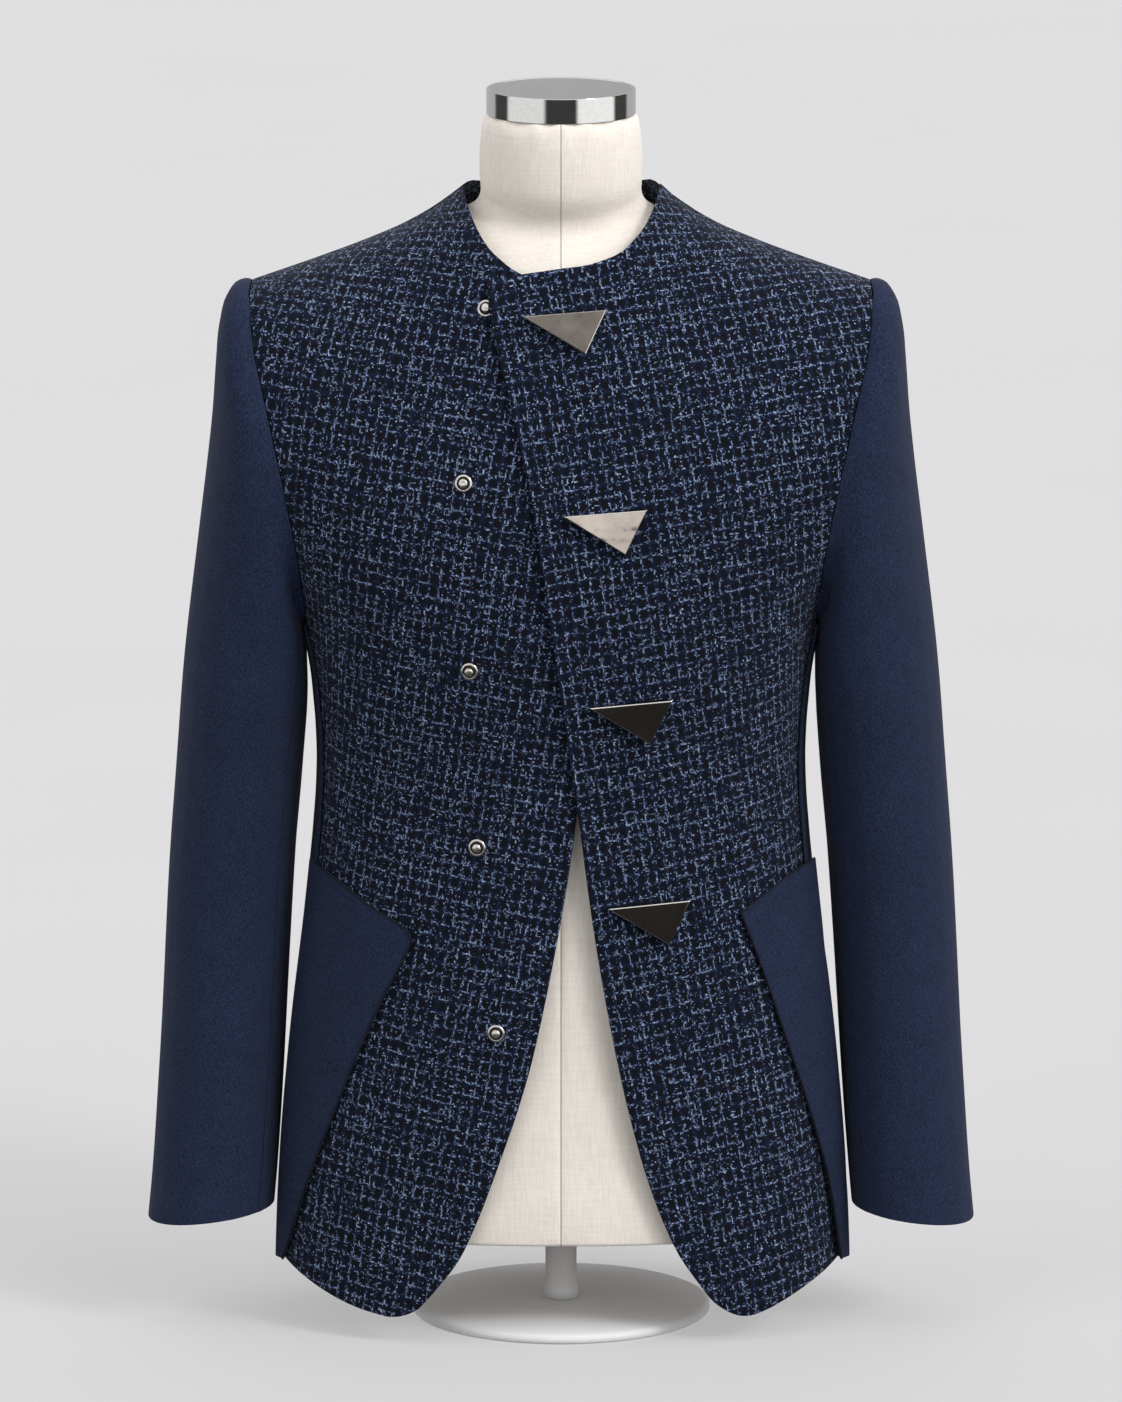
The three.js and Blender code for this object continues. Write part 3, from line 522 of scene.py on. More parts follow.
# Soft folds in the worn cloth: the two ends of each in x and z, how wide and how high it is,
# and whether it lies in front (-1) or behind (1)
BODY_FOLDS = [
    {"from": (-168, 590), "to": (-118, 520), "wide": 13, "high": -0.9, "face": -1},
    {"from": (-176, 560), "to": (-128, 470), "wide": 12, "high": 0.8, "face": -1},
    {"from": (-120, 480), "to": (-128, 250), "wide": 20, "high": 0.9, "face": -1},
    {"from": (-150, 430), "to": (-100, 395), "wide": 14, "high": -0.8, "face": -1},
    {"from": (-160, 395), "to": (-96, 372), "wide": 13, "high": 0.7, "face": -1},
    {"from": (-95, 250), "to": (-122, 60), "wide": 18, "high": -0.9, "face": -1},
    {"from": (170, 595), "to": (120, 512), "wide": 13, "high": -0.9, "face": -1},
    {"from": (176, 565), "to": (134, 480), "wide": 12, "high": 0.8, "face": -1},
    {"from": (122, 500), "to": (130, 260), "wide": 21, "high": 0.9, "face": -1},
    {"from": (160, 420), "to": (104, 402), "wide": 14, "high": -0.8, "face": -1},
    {"from": (100, 240), "to": (128, 50), "wide": 19, "high": -0.9, "face": -1},
    {"from": (-60, 690), "to": (-30, 500), "wide": 26, "high": 1.0, "face": 1},
    {"from": (62, 700), "to": (28, 520), "wide": 25, "high": 1.0, "face": 1},
    {"from": (-150, 640), "to": (-105, 500), "wide": 18, "high": -1.3, "face": 1},
    {"from": (152, 630), "to": (108, 505), "wide": 18, "high": -1.3, "face": 1},
    {"from": (-120, 420), "to": (-20, 405), "wide": 14, "high": -1.1, "face": 1},
    {"from": (128, 398), "to": (10, 388), "wide": 15, "high": -1.2, "face": 1},
    {"from": (-100, 385), "to": (30, 366), "wide": 13, "high": 0.9, "face": 1},
    {"from": (-70, 300), "to": (-92, 60), "wide": 24, "high": 1.4, "face": 1},
    {"from": (20, 330), "to": (8, 60), "wide": 22, "high": -1.3, "face": 1},
    {"from": (92, 300), "to": (110, 60), "wide": 25, "high": 1.4, "face": 1},
]


def fold_height(place, folds):
    """How far the folds lift a place, in metres."""
    point = Vector((place.x, place.z)) / MM
    total = 0.0
    for fold in folds:
        if place.y * fold["face"] < 0:
            continue
        start, end = Vector(fold["from"]), Vector(fold["to"])
        line = end - start
        share = max(0.0, min(1.0, (point - start).dot(line) / line.length_squared))
        bow = 0.06 * line.length * math.sin(share * math.pi * 1.6 + start.x)
        side = Vector((-line.y, line.x)).normalized()
        off = (point - start - line * share - side * bow * math.sin(math.pi * share)).length
        fade = math.sin(math.pi * min(1, max(0, share))) ** 0.8
        total += fold["high"] * fade * math.exp(-((off / fold["wide"]) ** 2))
    near_side = min(1.0, abs(place.y) / (40 * MM))
    return total * MM * near_side


SHARPEST_BEND = math.radians(60)


def outer_face(shape):
    """Keeps only the outer face of a cloth wall: the group without sharp bends that bulges outward."""
    shape.faces.ensure_lookup_table()
    group_of = {}
    groups = []
    for first in shape.faces:
        if first in group_of:
            continue
        members = [first]
        group_of[first] = len(groups)
        for face in members:
            for edge in face.edges:
                if len(edge.link_faces) != 2 or edge.calc_face_angle(0) > SHARPEST_BEND:
                    continue
                for other in edge.link_faces:
                    if other not in group_of:
                        group_of[other] = len(groups)
                        members.append(other)
        groups.append(members)

    def bulge(members):
        whole = sum(face.calc_area() for face in members)
        middle = sum((face.calc_center_median() * face.calc_area() for face in members), Vector()) / whole
        turned = sum(face.normal.dot(face.calc_center_median() - middle) * face.calc_area() for face in members)
        return turned if len(members) > 20 else -1.0

    kept = max(groups, key=bulge)
    drop = [face for face in shape.faces if face not in set(kept)]
    bmesh.ops.delete(shape, geom=drop, context="FACES")


def lay_flat(cloth, lean):
    """Unrolls the cloth to its flat cut, in metres. The warp leans lean to the left of upright."""
    bpy.context.view_layer.objects.active = cloth
    bpy.ops.object.mode_set(mode="EDIT")
    bpy.ops.mesh.select_all(action="SELECT")
    bpy.ops.uv.unwrap(method="ANGLE_BASED", margin=0)
    bpy.ops.object.mode_set(mode="OBJECT")
    mesh = cloth.data
    cut = mesh.uv_layers.active
    cut.name = "cut"
    real = 0.0
    flat = 0.0
    upward = Vector((0, 0))
    for face in mesh.polygons:
        corners = list(face.loop_indices)[:3]
        a, b, c = (mesh.vertices[mesh.loops[i].vertex_index].co for i in corners)
        p, q, r = (cut.data[i].uv for i in corners)
        e, f = b - a, c - a
        real += e.cross(f).length
        flat += (q - p).cross(r - p)
        ee, ef, ff = e.dot(e), e.dot(f), f.dot(f)
        span = ee * ff - ef * ef
        s = (e.z * ff - f.z * ef) / span
        t = (f.z * ee - e.z * ef) / span
        upward += ((q - p) * s + (r - p) * t) * e.cross(f).length
    grow = math.sqrt(real / abs(flat))
    mirror = 1 if flat > 0 else -1
    turn = math.atan2(upward.x * mirror, upward.y) - lean
    swing = Matrix.Rotation(turn, 2)
    for corner in cut.data:
        corner.uv = swing @ Vector((corner.uv.x * mirror, corner.uv.y)) * grow
    low = [min(corner.uv[i] for corner in cut.data) for i in (0, 1)]
    high = [max(corner.uv[i] for corner in cut.data) for i in (0, 1)]
    for corner in cut.data:
        corner.uv = corner.uv - Vector(low)
    return (high[0] - low[0], high[1] - low[1]), sum(face.area for face in mesh.polygons)


WALL = 2 * MM
EDGE_ROLL = 0.7 * MM
SEAM_GAP = 1.2 * MM
SEAM_STEPS = [{"out": 0.1 * MM, "down": 2.2 * MM}, {"out": 4.5 * MM, "down": 0.2 * MM}]


def place_key(place):
    return tuple(round(part * 1e6) for part in place)


def panel_trees(nodes):
    """For each node, a tree that finds the nearest place on it."""
    trees = []
    for node in nodes:
        panel = merged_copy(node)
        trees.append(BVHTree.FromBMesh(panel))
        panel.free()
    return trees


def room_between(place, trees):
    """How far a place is from the nearest of the trees' panels."""
    return min(tree.find_nearest(place)[3] for tree in trees)


def turn_in(shape, neighbours):
    """Grows the seam allowance: an edge that meets another panel is turned down and runs on under it."""
    trees = panel_trees(neighbours)

    def meets(vert):
        return any(tree.find_nearest(vert.co, SEAM_GAP)[0] is not None for tree in trees)

    rim = [edge for edge in shape.edges if edge.is_boundary and all(meets(vert) for vert in edge.verts)]
    ways = {}
    for edge in rim:
        face = edge.link_faces[0]
        middle = (edge.verts[0].co + edge.verts[1].co) / 2
        out = (edge.verts[1].co - edge.verts[0].co).cross(face.normal).normalized()
        if out.dot(middle - face.calc_center_median()) < 0:
            out = -out
        for vert in edge.verts:
            way = ways.setdefault(place_key(vert.co), [Vector(), Vector()])
            way[0] += out
            way[1] += face.normal
    witness = shape.faces[:][0]
    facing = witness.normal.copy()
    for step in SEAM_STEPS:
        made = bmesh.ops.extrude_edge_only(shape, edges=rim)["geom"]
        verts = {part for part in made if isinstance(part, bmesh.types.BMVert)}
        moved = {}
        for vert in verts:
            out, normal = ways[place_key(vert.co)]
            vert.co += out.normalized() * step["out"] - normal.normalized() * step["down"]
            moved[place_key(vert.co)] = [out, normal]
        rim = [
            part for part in made
            if isinstance(part, bmesh.types.BMEdge) and all(vert in verts for vert in part.verts)
        ]
        ways = moved
    bmesh.ops.recalc_face_normals(shape, faces=shape.faces)
    if witness.normal.dot(facing) < 0:
        bmesh.ops.reverse_faces(shape, faces=shape.faces)


def cloth_piece(
    name, node, materials, folds, lean=0.0, trim=None, under=()
):
    """One sewn panel: the outer face of its node, made fine, folded, and given its thickness."""
    shape = merged_copy(node)
    outer_face(shape)
    bmesh.ops.subdivide_edges(shape, edges=shape.edges, cuts=1, smooth=1.0, use_grid_fill=True)
    shape.normal_update()
    if trim:
        trim(shape)
    lifts = [(vert, vert.normal * fold_height(vert.co, folds)) for vert in shape.verts]
    for vert, lift in lifts:
        vert.co += lift
    if under:
        shape.normal_update()
        turn_in(shape, under)
    cloth = finished_piece(name, shape, *materials)
    size, area = lay_flat(cloth, math.radians(lean))
    wall = cloth.modifiers.new("wall", "SOLIDIFY")
    wall.thickness = WALL
    wall.offset = -1
    wall.use_even_offset = True
    # The rim of the wall takes the last material: for tweed, the dark turned edge with its painted shade
    wall.material_offset_rim = len(materials) - 1
    roll = cloth.modifiers.new("edge_roll", "BEVEL")
    roll.width = EDGE_ROLL
    roll.segments = 2
    roll.limit_method = "ANGLE"
    roll.angle_limit = math.radians(60)
    rounded(cloth, 1)
    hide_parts(node)
    print("CUT", name, [round(value, 3) for value in size], round(area, 4), len(cloth.data.polygons))
    return cloth


TWEED = (tweed_finish(), turned_edge_shade_finish())
cloth_piece("back_cloth", "back", TWEED, BODY_FOLDS)


# Side panels, flannel
# Narrow plain panels under the arms, between the front and the back, in a milled wool flannel.
def flannel_finish():
    flannel = Finish("navy_flannel", Specular_IOR_Level=0.18, Sheen_Weight=0.05, Sheen_Roughness=0.45)
    across, along = flannel.cut_places()
    fibre = flannel.noise(flannel.join(across * 1.3, along * 0.4), 1.0, 3.0)
    cross_fibre = flannel.noise(flannel.join(across * 0.5, along * 1.4, 9.0), 1.0, 3.0)
    cloud = flannel.noise(flannel.join(across, along, 4.0), 0.06)
    melange, _, _ = flannel.chance((across / 0.42).floor(), (along / 0.9).floor(), 3.0)
    tone = fibre * 0.4 + cross_fibre * 0.3 + melange * 0.22 + cloud * 0.08
    flannel.set(Base_Color=flannel.mix(tone.ease(0.32, 0.7), srgb(17, 25, 44), srgb(41, 52, 82)))
    flannel.set(Roughness=0.84 + fibre * 0.12)
    flannel.set(Normal=flannel.bump(fibre + cross_fibre * 0.7 + melange * 0.3, 0.0003, 0.8))
    return flannel.material


FLANNEL = (flannel_finish(),)
for side in ("right", "left"):
    cloth_piece(f"{side}_side_cloth", f"{side}_side", FLANNEL, [], under=(f"{side}_front", "back"))


# Fronts, tweed
# The right front lies under the left one. Each is cut with its warp along its own slanted
# edge, so the two checks lean apart, and each carries its half of the neck stand.
OVER_EDGE_WIDTH = 10 * MM
OVER_EDGE_RISE = 2.6 * MM


def lift_over_edge(shape):
    """The left front's own edge is folded double, so where it lies on the right front it stands up."""
    under = panel_trees(["right_front"])
    edge = [v.co.copy() for v in shape.verts if v.is_boundary and room_between(v.co, under) < 4 * MM]
    for vert in shape.verts:
        near = min((vert.co - place).length for place in edge)
        if near < OVER_EDGE_WIDTH:
            vert.co += vert.normal * OVER_EDGE_RISE * (1 - near / OVER_EDGE_WIDTH) ** 2


cloth_piece("right_front_cloth", "right_front", TWEED, BODY_FOLDS, lean=-8.0, under=("back",))
cloth_piece(
    "left_front_cloth", "left_front", TWEED, BODY_FOLDS, lean=8.5, trim=lift_over_edge, under=("back",)
)


# Pocket panels, flannel
# A plain panel laid on each hip, from the slanted pocket mouth down to the hem, with a thin
# dark piping round its free edges.
PIPING = 0.75 * MM
PIPING_START = 3 * MM


def piping_finish():
    piping = Finish("dark_piping", Specular_IOR_Level=0.3)
    x, y, z = piping.places()
    twist = piping.noise(piping.join(x, y, z), 0.9)
    piping.set(Base_Color=piping.mix(twist, srgb(8, 10, 17), srgb(20, 24, 36)))
    piping.set(Roughness=0.7 + twist * 0.2)
    return piping.material


DARK_PIPING = piping_finish()


# In millimetres: how far the pocket's outer edge stands off the body and how clear it stays of
# the sleeve, and how far the two ends of its mouth reach up, and in towards the front edge
POCKET_REACH = {
    "right": {"off": 3.2, "clear": 3.8, "outer_up": 10.5, "inner_up": 2.0, "inner_in": 4.5},
    "left": {"off": 5.4, "clear": 1.2, "outer_up": 9.5, "inner_up": 1.8, "inner_in": 2.8},
}
POCKET_SWING = 24 * MM
POCKET_ROW = 6 * MM
OUTER_END_REACH = 50 * MM
INNER_END_REACH = 40 * MM


def ease_pocket(shape, sign, reach, sleeve):
    """Draws the mouth up to the side seam, and stands the outer edge off the body."""
    trees = panel_trees(sleeve)
    outer = max(shape.verts, key=lambda vert: vert.co.z).co.copy()
    inner = min(shape.verts, key=lambda vert: abs(vert.co.x)).co.copy()
    widest = {}
    for vert in shape.verts:
        row = round(vert.co.z / POCKET_ROW)
        for near in (row - 1, row, row + 1):
            widest[near] = max(widest.get(near, 0.0), abs(vert.co.x))
    moves = []
    for vert in shape.verts:
        by_outer = math.exp(-(((vert.co - outer).length / OUTER_END_REACH) ** 2))
        by_inner = math.exp(-(((vert.co - inner).length / INNER_END_REACH) ** 2))
        up = reach["outer_up"] * by_outer + reach["inner_up"] * by_inner
        slide = Vector((-sign * reach["inner_in"] * by_inner, 0, up)) * MM
        slide -= vert.normal * slide.dot(vert.normal)
        in_from_edge = widest[round(vert.co.z / POCKET_ROW)] - abs(vert.co.x)
        share = max(0.0, 1 - in_from_edge / POCKET_SWING) ** 2
        room = max(0.0, room_between(vert.co, trees) - reach["clear"] * MM)
        stand_off = Vector((sign * min(reach["off"] * share * MM, room), 0, 0))
        moves.append((vert, slide + stand_off))
    for vert, move in moves:
        vert.co += move
    shape.normal_update()


def free_edge(shape, side):
    """The points of a pocket's mouth and inner edge, in order, lifted a little off its face."""
    border = [edge for edge in shape.edges if edge.is_boundary]
    low = min(vert.co.z for vert in shape.verts)
    start = max((v for e in border for v in e.verts), key=lambda v: v.co.z * 4 + v.co.x * side)
    chain = [start]
    while True:
        here = chain[-1]
        onward = [e.other_vert(here) for e in here.link_edges if e.is_boundary]
        fresh = [v for v in onward if v not in chain]
        if len(chain) == 1:
            fresh.sort(key=lambda v: v.co.x * side)
        if not fresh or chain[-1].co.z < low + 0.4 * MM:
            break
        chain.append(fresh[0])
    return [vert.co + vert.normal * 0.1 * MM for vert in chain if (vert.co - start.co).length > PIPING_START]


def build_piping(name, points):
    line = bpy.data.curves.new(name, "CURVE")
    line.dimensions = "3D"
    line.bevel_depth = PIPING
    line.bevel_resolution = 2
    line.use_fill_caps = True
    spline = line.splines.new("POLY")
    spline.points.add(len(points) - 1)
    for point, place in zip(spline.points, points):
        point.co = (*place, 1)
    cord = bpy.data.objects.new(name + "_line", line)
    bpy.context.scene.collection.objects.link(cord)
    mesh = bpy.data.meshes.new_from_object(cord)
    bpy.data.objects.remove(cord)
    mesh.name = name
    mesh.materials.clear()
    mesh.materials.append(DARK_PIPING)
    for face in mesh.polygons:
        face.use_smooth = True
    piece = bpy.data.objects.new(name, mesh)
    bpy.context.scene.collection.objects.link(piece)
    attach(piece, "root")


for side, sign in (("right", -1), ("left", 1)):
    edges = []

    def shape_pocket(shape):
        ease_pocket(shape, sign, POCKET_REACH[side], (f"{side}_top_sleeve", f"{side}_under_sleeve"))
        edges.extend(free_edge(shape, sign))

    cloth_piece(
        f"{side}_pocket_cloth", f"{side}_pocket", FLANNEL, BODY_FOLDS,
        trim=shape_pocket,
    )
    build_piping(f"{side}_pocket_piping", edges)


# Sleeves, flannel
# Two-piece tailored sleeves that hang a little forward, set in with a low rope at the head.
# The seams run down the forearm and the hindarm.
LEFT_SLEEVE_FOLDS = [
    {"from": (188, 470), "to": (252, 512), "wide": 13, "high": -1.5, "face": -1},
    {"from": (186, 440), "to": (258, 462), "wide": 14, "high": 1.4, "face": -1},
    {"from": (186, 405), "to": (262, 400), "wide": 13, "high": -1.6, "face": -1},
    {"from": (190, 370), "to": (258, 344), "wide": 15, "high": 1.2, "face": -1},
    {"from": (226, 690), "to": (232, 560), "wide": 14, "high": 1.0, "face": -1},
    {"from": (206, 300), "to": (222, 120), "wide": 17, "high": 1.2, "face": -1},
    {"from": (262, 320), "to": (268, 130), "wide": 15, "high": -1.1, "face": -1},
    {"from": (190, 480), "to": (250, 500), "wide": 14, "high": -1.2, "face": 1},
    {"from": (196, 430), "to": (262, 446), "wide": 15, "high": 1.2, "face": 1},
    {"from": (228, 660), "to": (236, 520), "wide": 15, "high": 1.0, "face": 1},
    {"from": (214, 330), "to": (228, 120), "wide": 18, "high": 1.3, "face": 1},
]
RIGHT_SLEEVE_FOLDS = [
    {**fold, "from": (-fold["from"][0], fold["from"][1] + 9), "to": (-fold["to"][0], fold["to"][1] - 7)}
    for fold in LEFT_SLEEVE_FOLDS
]
# How far each sleeve's inner face hangs in towards the body at each height, in millimetres
SLEEVE_HANG = {
    "right": {0: 3.0, 110: 2.8, 250: 1.4, 340: 0.6, 395: 1.3, 440: 2.6, 468: 4.0, 500: 4.2, 520: 0},
    "left": {0: 0, 340: 0, 395: 0.8, 440: 1.6, 468: 4.2, 500: 4.6, 520: 0},
}
HANG_GAP = 0.6 * MM


def hang_in(shape, sign, hang, body):
    """Draws the sleeve's inner face in, no nearer to the body than a small gap."""
    trees = panel_trees(body)
    rows = list(hang.items())
    for vert in shape.verts:
        height = vert.co.z / MM
        wish = 0.0
        for (low, at_low), (high, at_high) in zip(rows, rows[1:]):
            if low <= height < high:
                wish = at_low + (at_high - at_low) * (height - low) / (high - low)
        facing = max(0.0, -vert.normal.x * sign)
        room = max(0.0, room_between(vert.co, trees) - HANG_GAP)
        vert.co.x -= sign * min(wish * facing * MM, room)
    shape.normal_update()


for side, sign, folds in (("right", -1, RIGHT_SLEEVE_FOLDS), ("left", 1, LEFT_SLEEVE_FOLDS)):
    body = (f"{side}_front", "back")
    sewn_under = {"top": body, "under": (*body, f"{side}_side", f"{side}_top_sleeve")}

    def shape_sleeve(shape):
        hang_in(shape, sign, SLEEVE_HANG[side], (*body, f"{side}_side", f"{side}_pocket"))

    for part, neighbours in sewn_under.items():
        cloth_piece(
            f"{side}_{part}_sleeve_cloth", f"{side}_{part}_sleeve", FLANNEL, folds,
            trim=shape_sleeve, under=neighbours,
        )


# Snap studs, nickel
# Five turned studs riveted to the right front: a flange with a raised ring, and a ball-headed
# post in the middle that the other half of the snap presses on to.
# The groove inside the raised ring is painted dark as shade.
SNAP_PROFILE = [
    (0, 0), (6.0, 0), (6.2, 0.25), (6.2, 0.9), (5.95, 1.25), (5.5, 1.55), (5.0, 1.7), (4.55, 1.6),
    (4.2, 1.15), (3.9, 0.95), (3.3, 0.95), (2.6, 1.05), (2.35, 1.4), (2.35, 2.1), (2.55, 2.55),
    (3.0, 2.9), (3.15, 3.3), (2.95, 3.75), (2.35, 4.1), (1.3, 4.27), (0, 4.3),
]


def nickel_finish():
    nickel = Finish("warm_nickel", Metallic=1.0)
    x, y, z = nickel.places()
    rub = nickel.noise(nickel.join(x, y, z), 1.4)
    nickel.set(Base_Color=nickel.mix(rub, srgb(204, 198, 190), srgb(232, 228, 222)))
    nickel.set(Roughness=0.2 + rub * 0.14)
    return nickel.material


def seat_of(node):
    """Where a hard piece sits: its back face's middle, with Z pointing out of the cloth."""
    shape = bmesh.new()
    shape.from_mesh(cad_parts[node].data)
    sums = {}
    for face in shape.faces:
        key = tuple(round(part, 2) for part in face.normal)
        area = face.calc_area()
        entry = sums.setdefault(key, [0.0, Vector(), Vector()])
        entry[0] += area
        entry[1] += face.calc_center_median() * area
        entry[2] += face.normal * area
    inward = [entry for entry in sums.values() if entry[2].y > 0]
    area, place, normal = max(inward, key=lambda entry: entry[0])
    shape.free()
    out = -normal.normalized()
    sideways = Vector((0, 0, 1)).cross(out).normalized()
    turn = Matrix((sideways, out.cross(sideways), out)).transposed().to_4x4()
    return Matrix.Translation(place / area) @ turn


# Painted shade: nickel darkened in its colour where the flange's groove lies in shadow, with a mottle through
# it
def groove_shade_finish():
    groove = Finish("nickel_painted_groove_shade", Metallic=0.7)
    x, y, z = groove.places()
    shade_mottle = groove.noise(groove.join(x, y, z), 1.2)
    groove.set(Base_Color=groove.mix(shade_mottle, srgb(34, 31, 29), srgb(70, 65, 60)))
    groove.set(Roughness=0.45 + shade_mottle * 0.2)
    return groove.material


NICKEL = nickel_finish()
GROOVE_SHADE = groove_shade_finish()
GROOVE_INNER = 2.3 * MM
GROOVE_OUTER = 4.4 * MM
GROOVE_DEEP = 1.45 * MM
for number in range(1, 6):
    rows = [(radius * MM, height * MM) for radius, height in SNAP_PROFILE]
    seat = seat_of(f"snap_{number}")
    stud = turned_shape(rows, 48)
    # Faces low in the groove take the painted groove shade
    for face in stud.faces:
        middle = face.calc_center_median()
        if GROOVE_INNER < middle.xy.length < GROOVE_OUTER and middle.z < GROOVE_DEEP:
            face.material_index = 1
    bmesh.ops.transform(stud, matrix=seat, verts=stud.verts)
    snap = finished_piece(f"snap_stud_{number}", stud, NICKEL, GROOVE_SHADE)
    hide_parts(f"snap_{number}")


# Clasps, gunmetal
# Four triangular plates on the left front, softly polished, with a narrow bright bevel round
# the face.
CLASP_TOP = 5.2
CLASP_FOOT = 0.5
CLASP_BEVEL = 0.6
CLASP_CROWN = 0.08


def gunmetal_finish():
    gunmetal = Finish("warm_gunmetal", Metallic=1.0)
    x, y, z = gunmetal.places()
    grain = gunmetal.noise(gunmetal.join(x * 3.0, y * 0.2, z * 0.12), 1.0, 3.0)
    cloud = gunmetal.noise(gunmetal.join(x, y, z), 0.05)
    tone = grain * 0.35 + cloud * 0.65
    gunmetal.set(Base_Color=gunmetal.mix(tone.ease(0.3, 0.7), srgb(144, 136, 129), srgb(164, 156, 147)))
    gunmetal.set(Roughness=0.05 + grain * 0.03)
    gunmetal.set(Normal=gunmetal.bump(cloud, 0.0003, 0.8))
    return gunmetal.material


def bevel_finish():
    polished = Finish("polished_bevel", Metallic=1.0)
    x, y, z = polished.places()
    wear = polished.noise(polished.join(x, y, z), 0.8)
    polished.set(Base_Color=polished.mix(wear, srgb(206, 199, 190), srgb(232, 228, 222)))
    polished.set(Roughness=0.12 + wear * 0.12)
    return polished.material


GUNMETAL = gunmetal_finish()
POLISHED = bevel_finish()


def build_clasp(number):
    node = f"clasp_{number}"
    seat = seat_of(node)
    back = seat.inverted()
    heights = [(back @ vert.co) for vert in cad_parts[node].data.vertices]
    reach = {}
    for place in heights:
        if 1.5 * MM < place.z < 2.6 * MM:
            reach[(round(place.x, 4), round(place.y, 4))] = place
    middle = sum(reach.values(), Vector()) / len(reach)
    corners = sorted(reach.values(), key=lambda p: math.atan2(p.y - middle.y, p.x - middle.x))
    shape = bmesh.new()
    base = shape.faces.new([shape.verts.new((p.x, p.y, CLASP_FOOT * MM)) for p in corners])
    lifted = bmesh.ops.extrude_face_region(shape, geom=[base])["geom"]
    raised = [part for part in lifted if isinstance(part, bmesh.types.BMVert)]
    bmesh.ops.translate(shape, verts=raised, vec=(0, 0, (CLASP_TOP - CLASP_FOOT) * MM))
    bmesh.ops.recalc_face_normals(shape, faces=shape.faces)
    top = [edge for edge in shape.edges if all(vert in raised for vert in edge.verts)]
    made = bmesh.ops.bevel(
        shape, geom=top, offset=CLASP_BEVEL * MM, segments=1, affect="EDGES", profile=0.5, material=-1
    )
    for face in made["faces"]:
        face.material_index = 1
    ease_corners(shape, 0.12 * MM, 2, least=25)
    shape.normal_update()
    face = max((face for face in shape.faces if face.normal.z > 0.9), key=lambda face: face.calc_area())
    bmesh.ops.poke(shape, faces=[face], offset=CLASP_CROWN * MM)
    shape.normal_update()
    for edge in shape.edges:
        edge.smooth = edge.calc_face_angle(0) < math.radians(12)
    bmesh.ops.transform(shape, matrix=seat, verts=shape.verts)
    clasp = finished_piece(f"clasp_plate_{number}", shape, GUNMETAL, POLISHED)
    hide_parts(node)


for number in range(1, 5):
    build_clasp(number)


# Studio
# A pale floor that runs out of sight, in a room that is a soft light on every side and brightest
# at the right. Polished metal mirrors the room's dark gaps, and a window in front.
CAMERA_AWAY = 8.5
CAMERA_RISE = math.radians(11.6)
CAMERA_AIM = 0.437
CAMERA_LENS = 311.8
camera_data = bpy.data.cameras.new("camera")
camera_data.lens = CAMERA_LENS
camera_data.sensor_width = 36
camera_data.clip_end = 100
camera = bpy.data.objects.new("camera", camera_data)
camera.location = (0, -CAMERA_AWAY * math.cos(CAMERA_RISE), CAMERA_AIM + CAMERA_AWAY * math.sin(CAMERA_RISE))
camera.rotation_euler = (math.pi / 2 - CAMERA_RISE, 0, 0)
bpy.context.scene.collection.objects.link(camera)
bpy.context.scene.camera = camera


def room_tone(x, y, front, left, right, gap, behind):
    """How bright the room is all round: dim behind the camera, a soft light at each side, a dim gap."""
    angle = x.size().turn_from(0 - y)
    side = x.ease(-0.02, 0.02) * (right - left) + left
    past_front = angle.ease(21, 29)
    past_light = angle.ease(86, 94)
    past_gap = angle.ease(117, 127)
    tone = front + past_front * (side - front)
    tone = tone + past_light * (gap - side)
    return tone + past_gap * (behind - gap)


# How bright the floor and the room are: as metal mirrors them, and as the room lights the cloth
FLOOR_MIRRORED = {"left": 0.9, "right": 1.1, "gap": 0.06, "behind": 0.5}
FLOOR_GLOW = (0.36, 0.358, 0.362, 1.0)
DIM_FRONT = 0.05
NEAR_FLOOR = 2300
FLOOR_BOUNCE = 0.3
WINDOW_TONE = 1.3
ROOM_MIRRORED = {"front": 0.42, "left": 0.95, "right": 1.2, "gap": 0.06, "behind": 0.5}
ROOM_LIGHT = {"front": 0.42, "left": 1.5, "right": 2.0, "gap": 0.6, "behind": 1.1}
ROOM_SEEN = 0.74


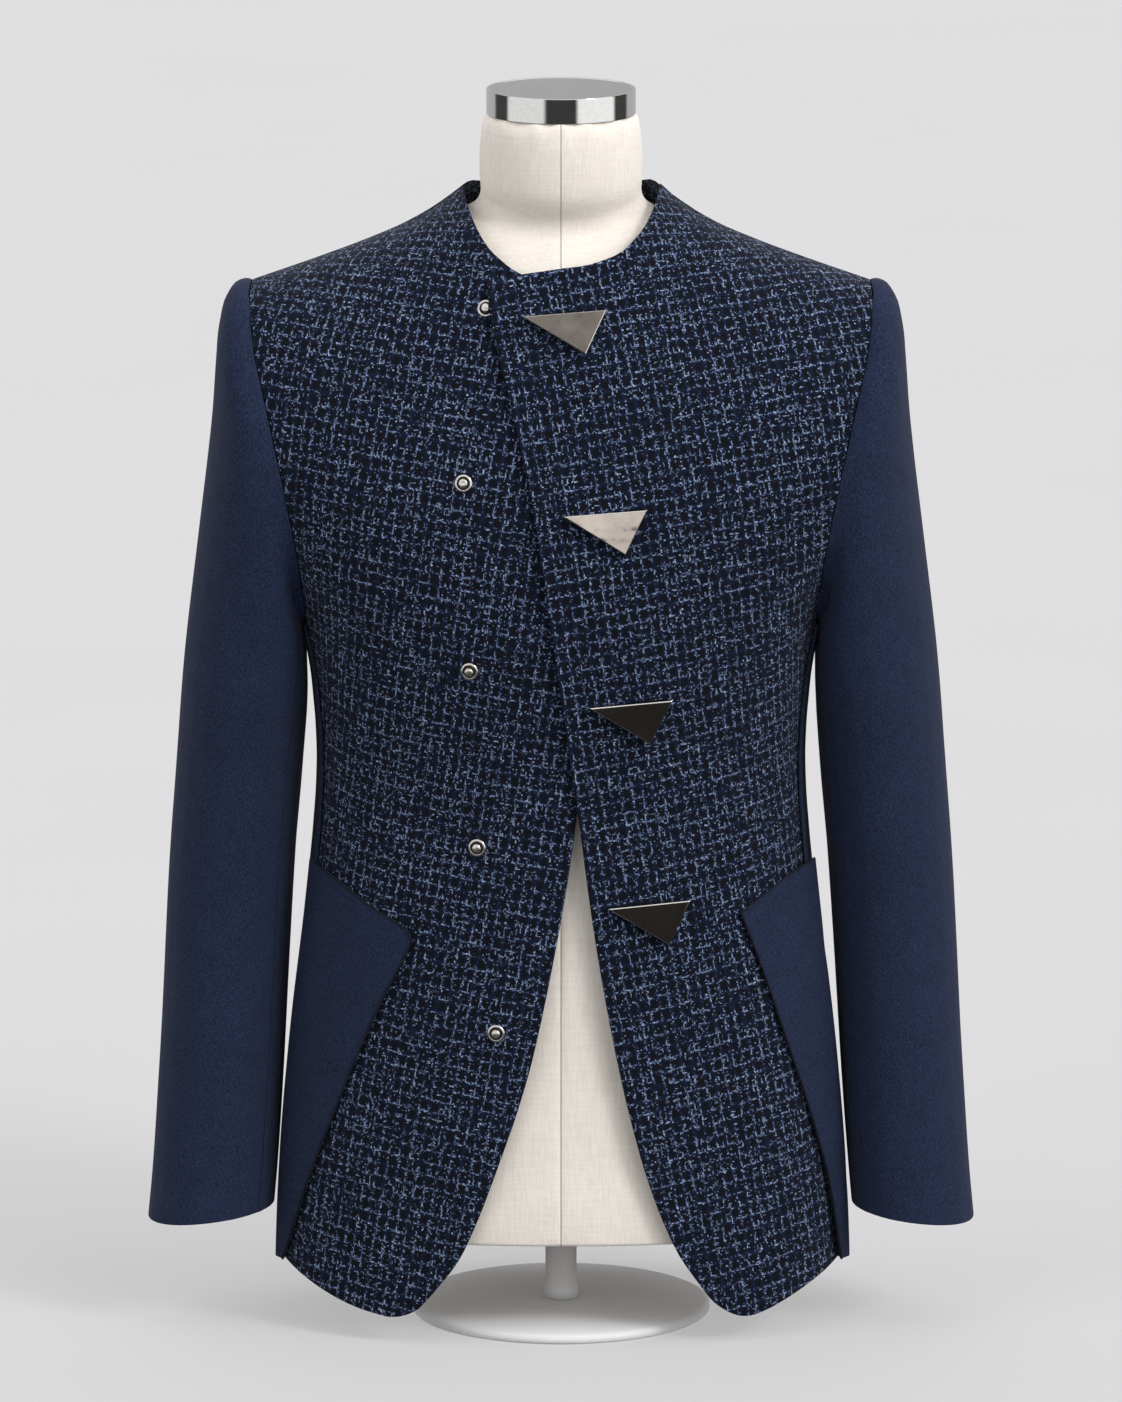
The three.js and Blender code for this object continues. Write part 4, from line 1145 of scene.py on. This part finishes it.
def floor_finish():
    """Pale paint with a painted glow that lifts the object's shadow on it. To the cloth it throws a fixed dim
    painted bounce light, and metal sees a painted reflection instead, dim in front and near by.
    """
    floor = Finish("pale_floor", Roughness=0.9, Specular_IOR_Level=0.1)
    x, y, z = floor.places()
    tone = floor.noise(floor.join(x, y, z), 0.002)
    floor.set(Base_Color=floor.mix(tone, srgb(141, 140, 141), srgb(146, 145, 146)))
    # The floor's glow is painted light: it lifts the shadow that the object casts on the floor
    floor.set(Emission_Color=FLOOR_GLOW, Emission_Strength=1.0)
    away = floor.node("ShaderNodeVectorMath", {"operation": "LENGTH"}, {0: floor.join(x, y)}, "Value")
    far = away.ease(NEAR_FLOOR - 150, NEAR_FLOOR + 150)
    tones = {name: far * (tone - DIM_FRONT) + DIM_FRONT for name, tone in FLOOR_MIRRORED.items()}
    tones["front"] = DIM_FRONT
    # What metal mirrors here is a painted reflection, not the floor's own paint
    mirrored = floor.node("ShaderNodeEmission", None, {"Color": room_tone(x, y, **tones)})
    glossy = floor.node("ShaderNodeLightPath", None, None, "Is Glossy Ray")
    painted = Wire(floor, floor.surface.outputs[0])
    both = floor.node("ShaderNodeMixShader", None, {0: glossy, 1: painted, 2: mirrored})
    # The light the floor throws up to the cloth is a fixed painted bounce light
    spread = floor.node("ShaderNodeLightPath", None, None, "Is Diffuse Ray")
    bounce = floor.node("ShaderNodeEmission", None, {"Color": (FLOOR_BOUNCE, FLOOR_BOUNCE, FLOOR_BOUNCE, 1.0)})
    whole = floor.node("ShaderNodeMixShader", None, {0: spread, 1: both, 2: bounce})
    floor.tree.links.new(whole.socket, floor.output.inputs[0])
    return floor.material


floor_shape = bmesh.new()
bmesh.ops.create_grid(floor_shape, x_segments=2, y_segments=2, size=40)
floor_mesh = bpy.data.meshes.new("floor")
floor_shape.to_mesh(floor_mesh)
floor_shape.free()
floor_mesh.materials.append(floor_finish())
floor_piece = bpy.data.objects.new("floor", floor_mesh)
bpy.context.scene.collection.objects.link(floor_piece)


class Room(Finish):
    """The world round the object, built with the same nodes as a finish."""

    def __init__(self, name):
        self.world = bpy.data.worlds.new(name)
        self.world.use_nodes = True
        self.tree = self.world.node_tree
        self.tree.nodes.clear()
        self.output = self.tree.nodes.new("ShaderNodeOutputWorld")
        self.surface = self.tree.nodes.new("ShaderNodeBackground")
        self.tree.links.new(self.surface.outputs[0], self.output.inputs[0])


room = Room("studio_room")
x, y, z = room.split(room.node("ShaderNodeTexCoord", None, None, "Generated"))
glossy = room.node("ShaderNodeLightPath", None, None, "Is Glossy Ray")
seen = room.node("ShaderNodeLightPath", None, None, "Is Camera Ray")
light = room_tone(x, y, **ROOM_LIGHT)
window = z.ease(0.22, 0.12) * WINDOW_TONE
mirrored = room_tone(x, y, **{**ROOM_MIRRORED, "front": window + ROOM_MIRRORED["front"]})
mirrored = mirrored + z.ease(0.5, 0.65) * (1.05 - mirrored)
light = light + glossy * (mirrored - light)
room.set(Color=(0.99, 0.99, 1.0, 1.0), Strength=light + seen * (ROOM_SEEN - light))
bpy.context.scene.world = room.world

key_data = bpy.data.lights.new("key_light", "SUN")
key_data.energy = 1.1
key_data.angle = math.radians(16)
key_light = bpy.data.objects.new("key_light", key_data)
key_light.rotation_euler = Vector((-0.62, 0.48, -0.62)).to_track_quat("-Z", "Y").to_euler()
bpy.context.scene.collection.objects.link(key_light)
bpy.context.scene.view_settings.view_transform = "Standard"
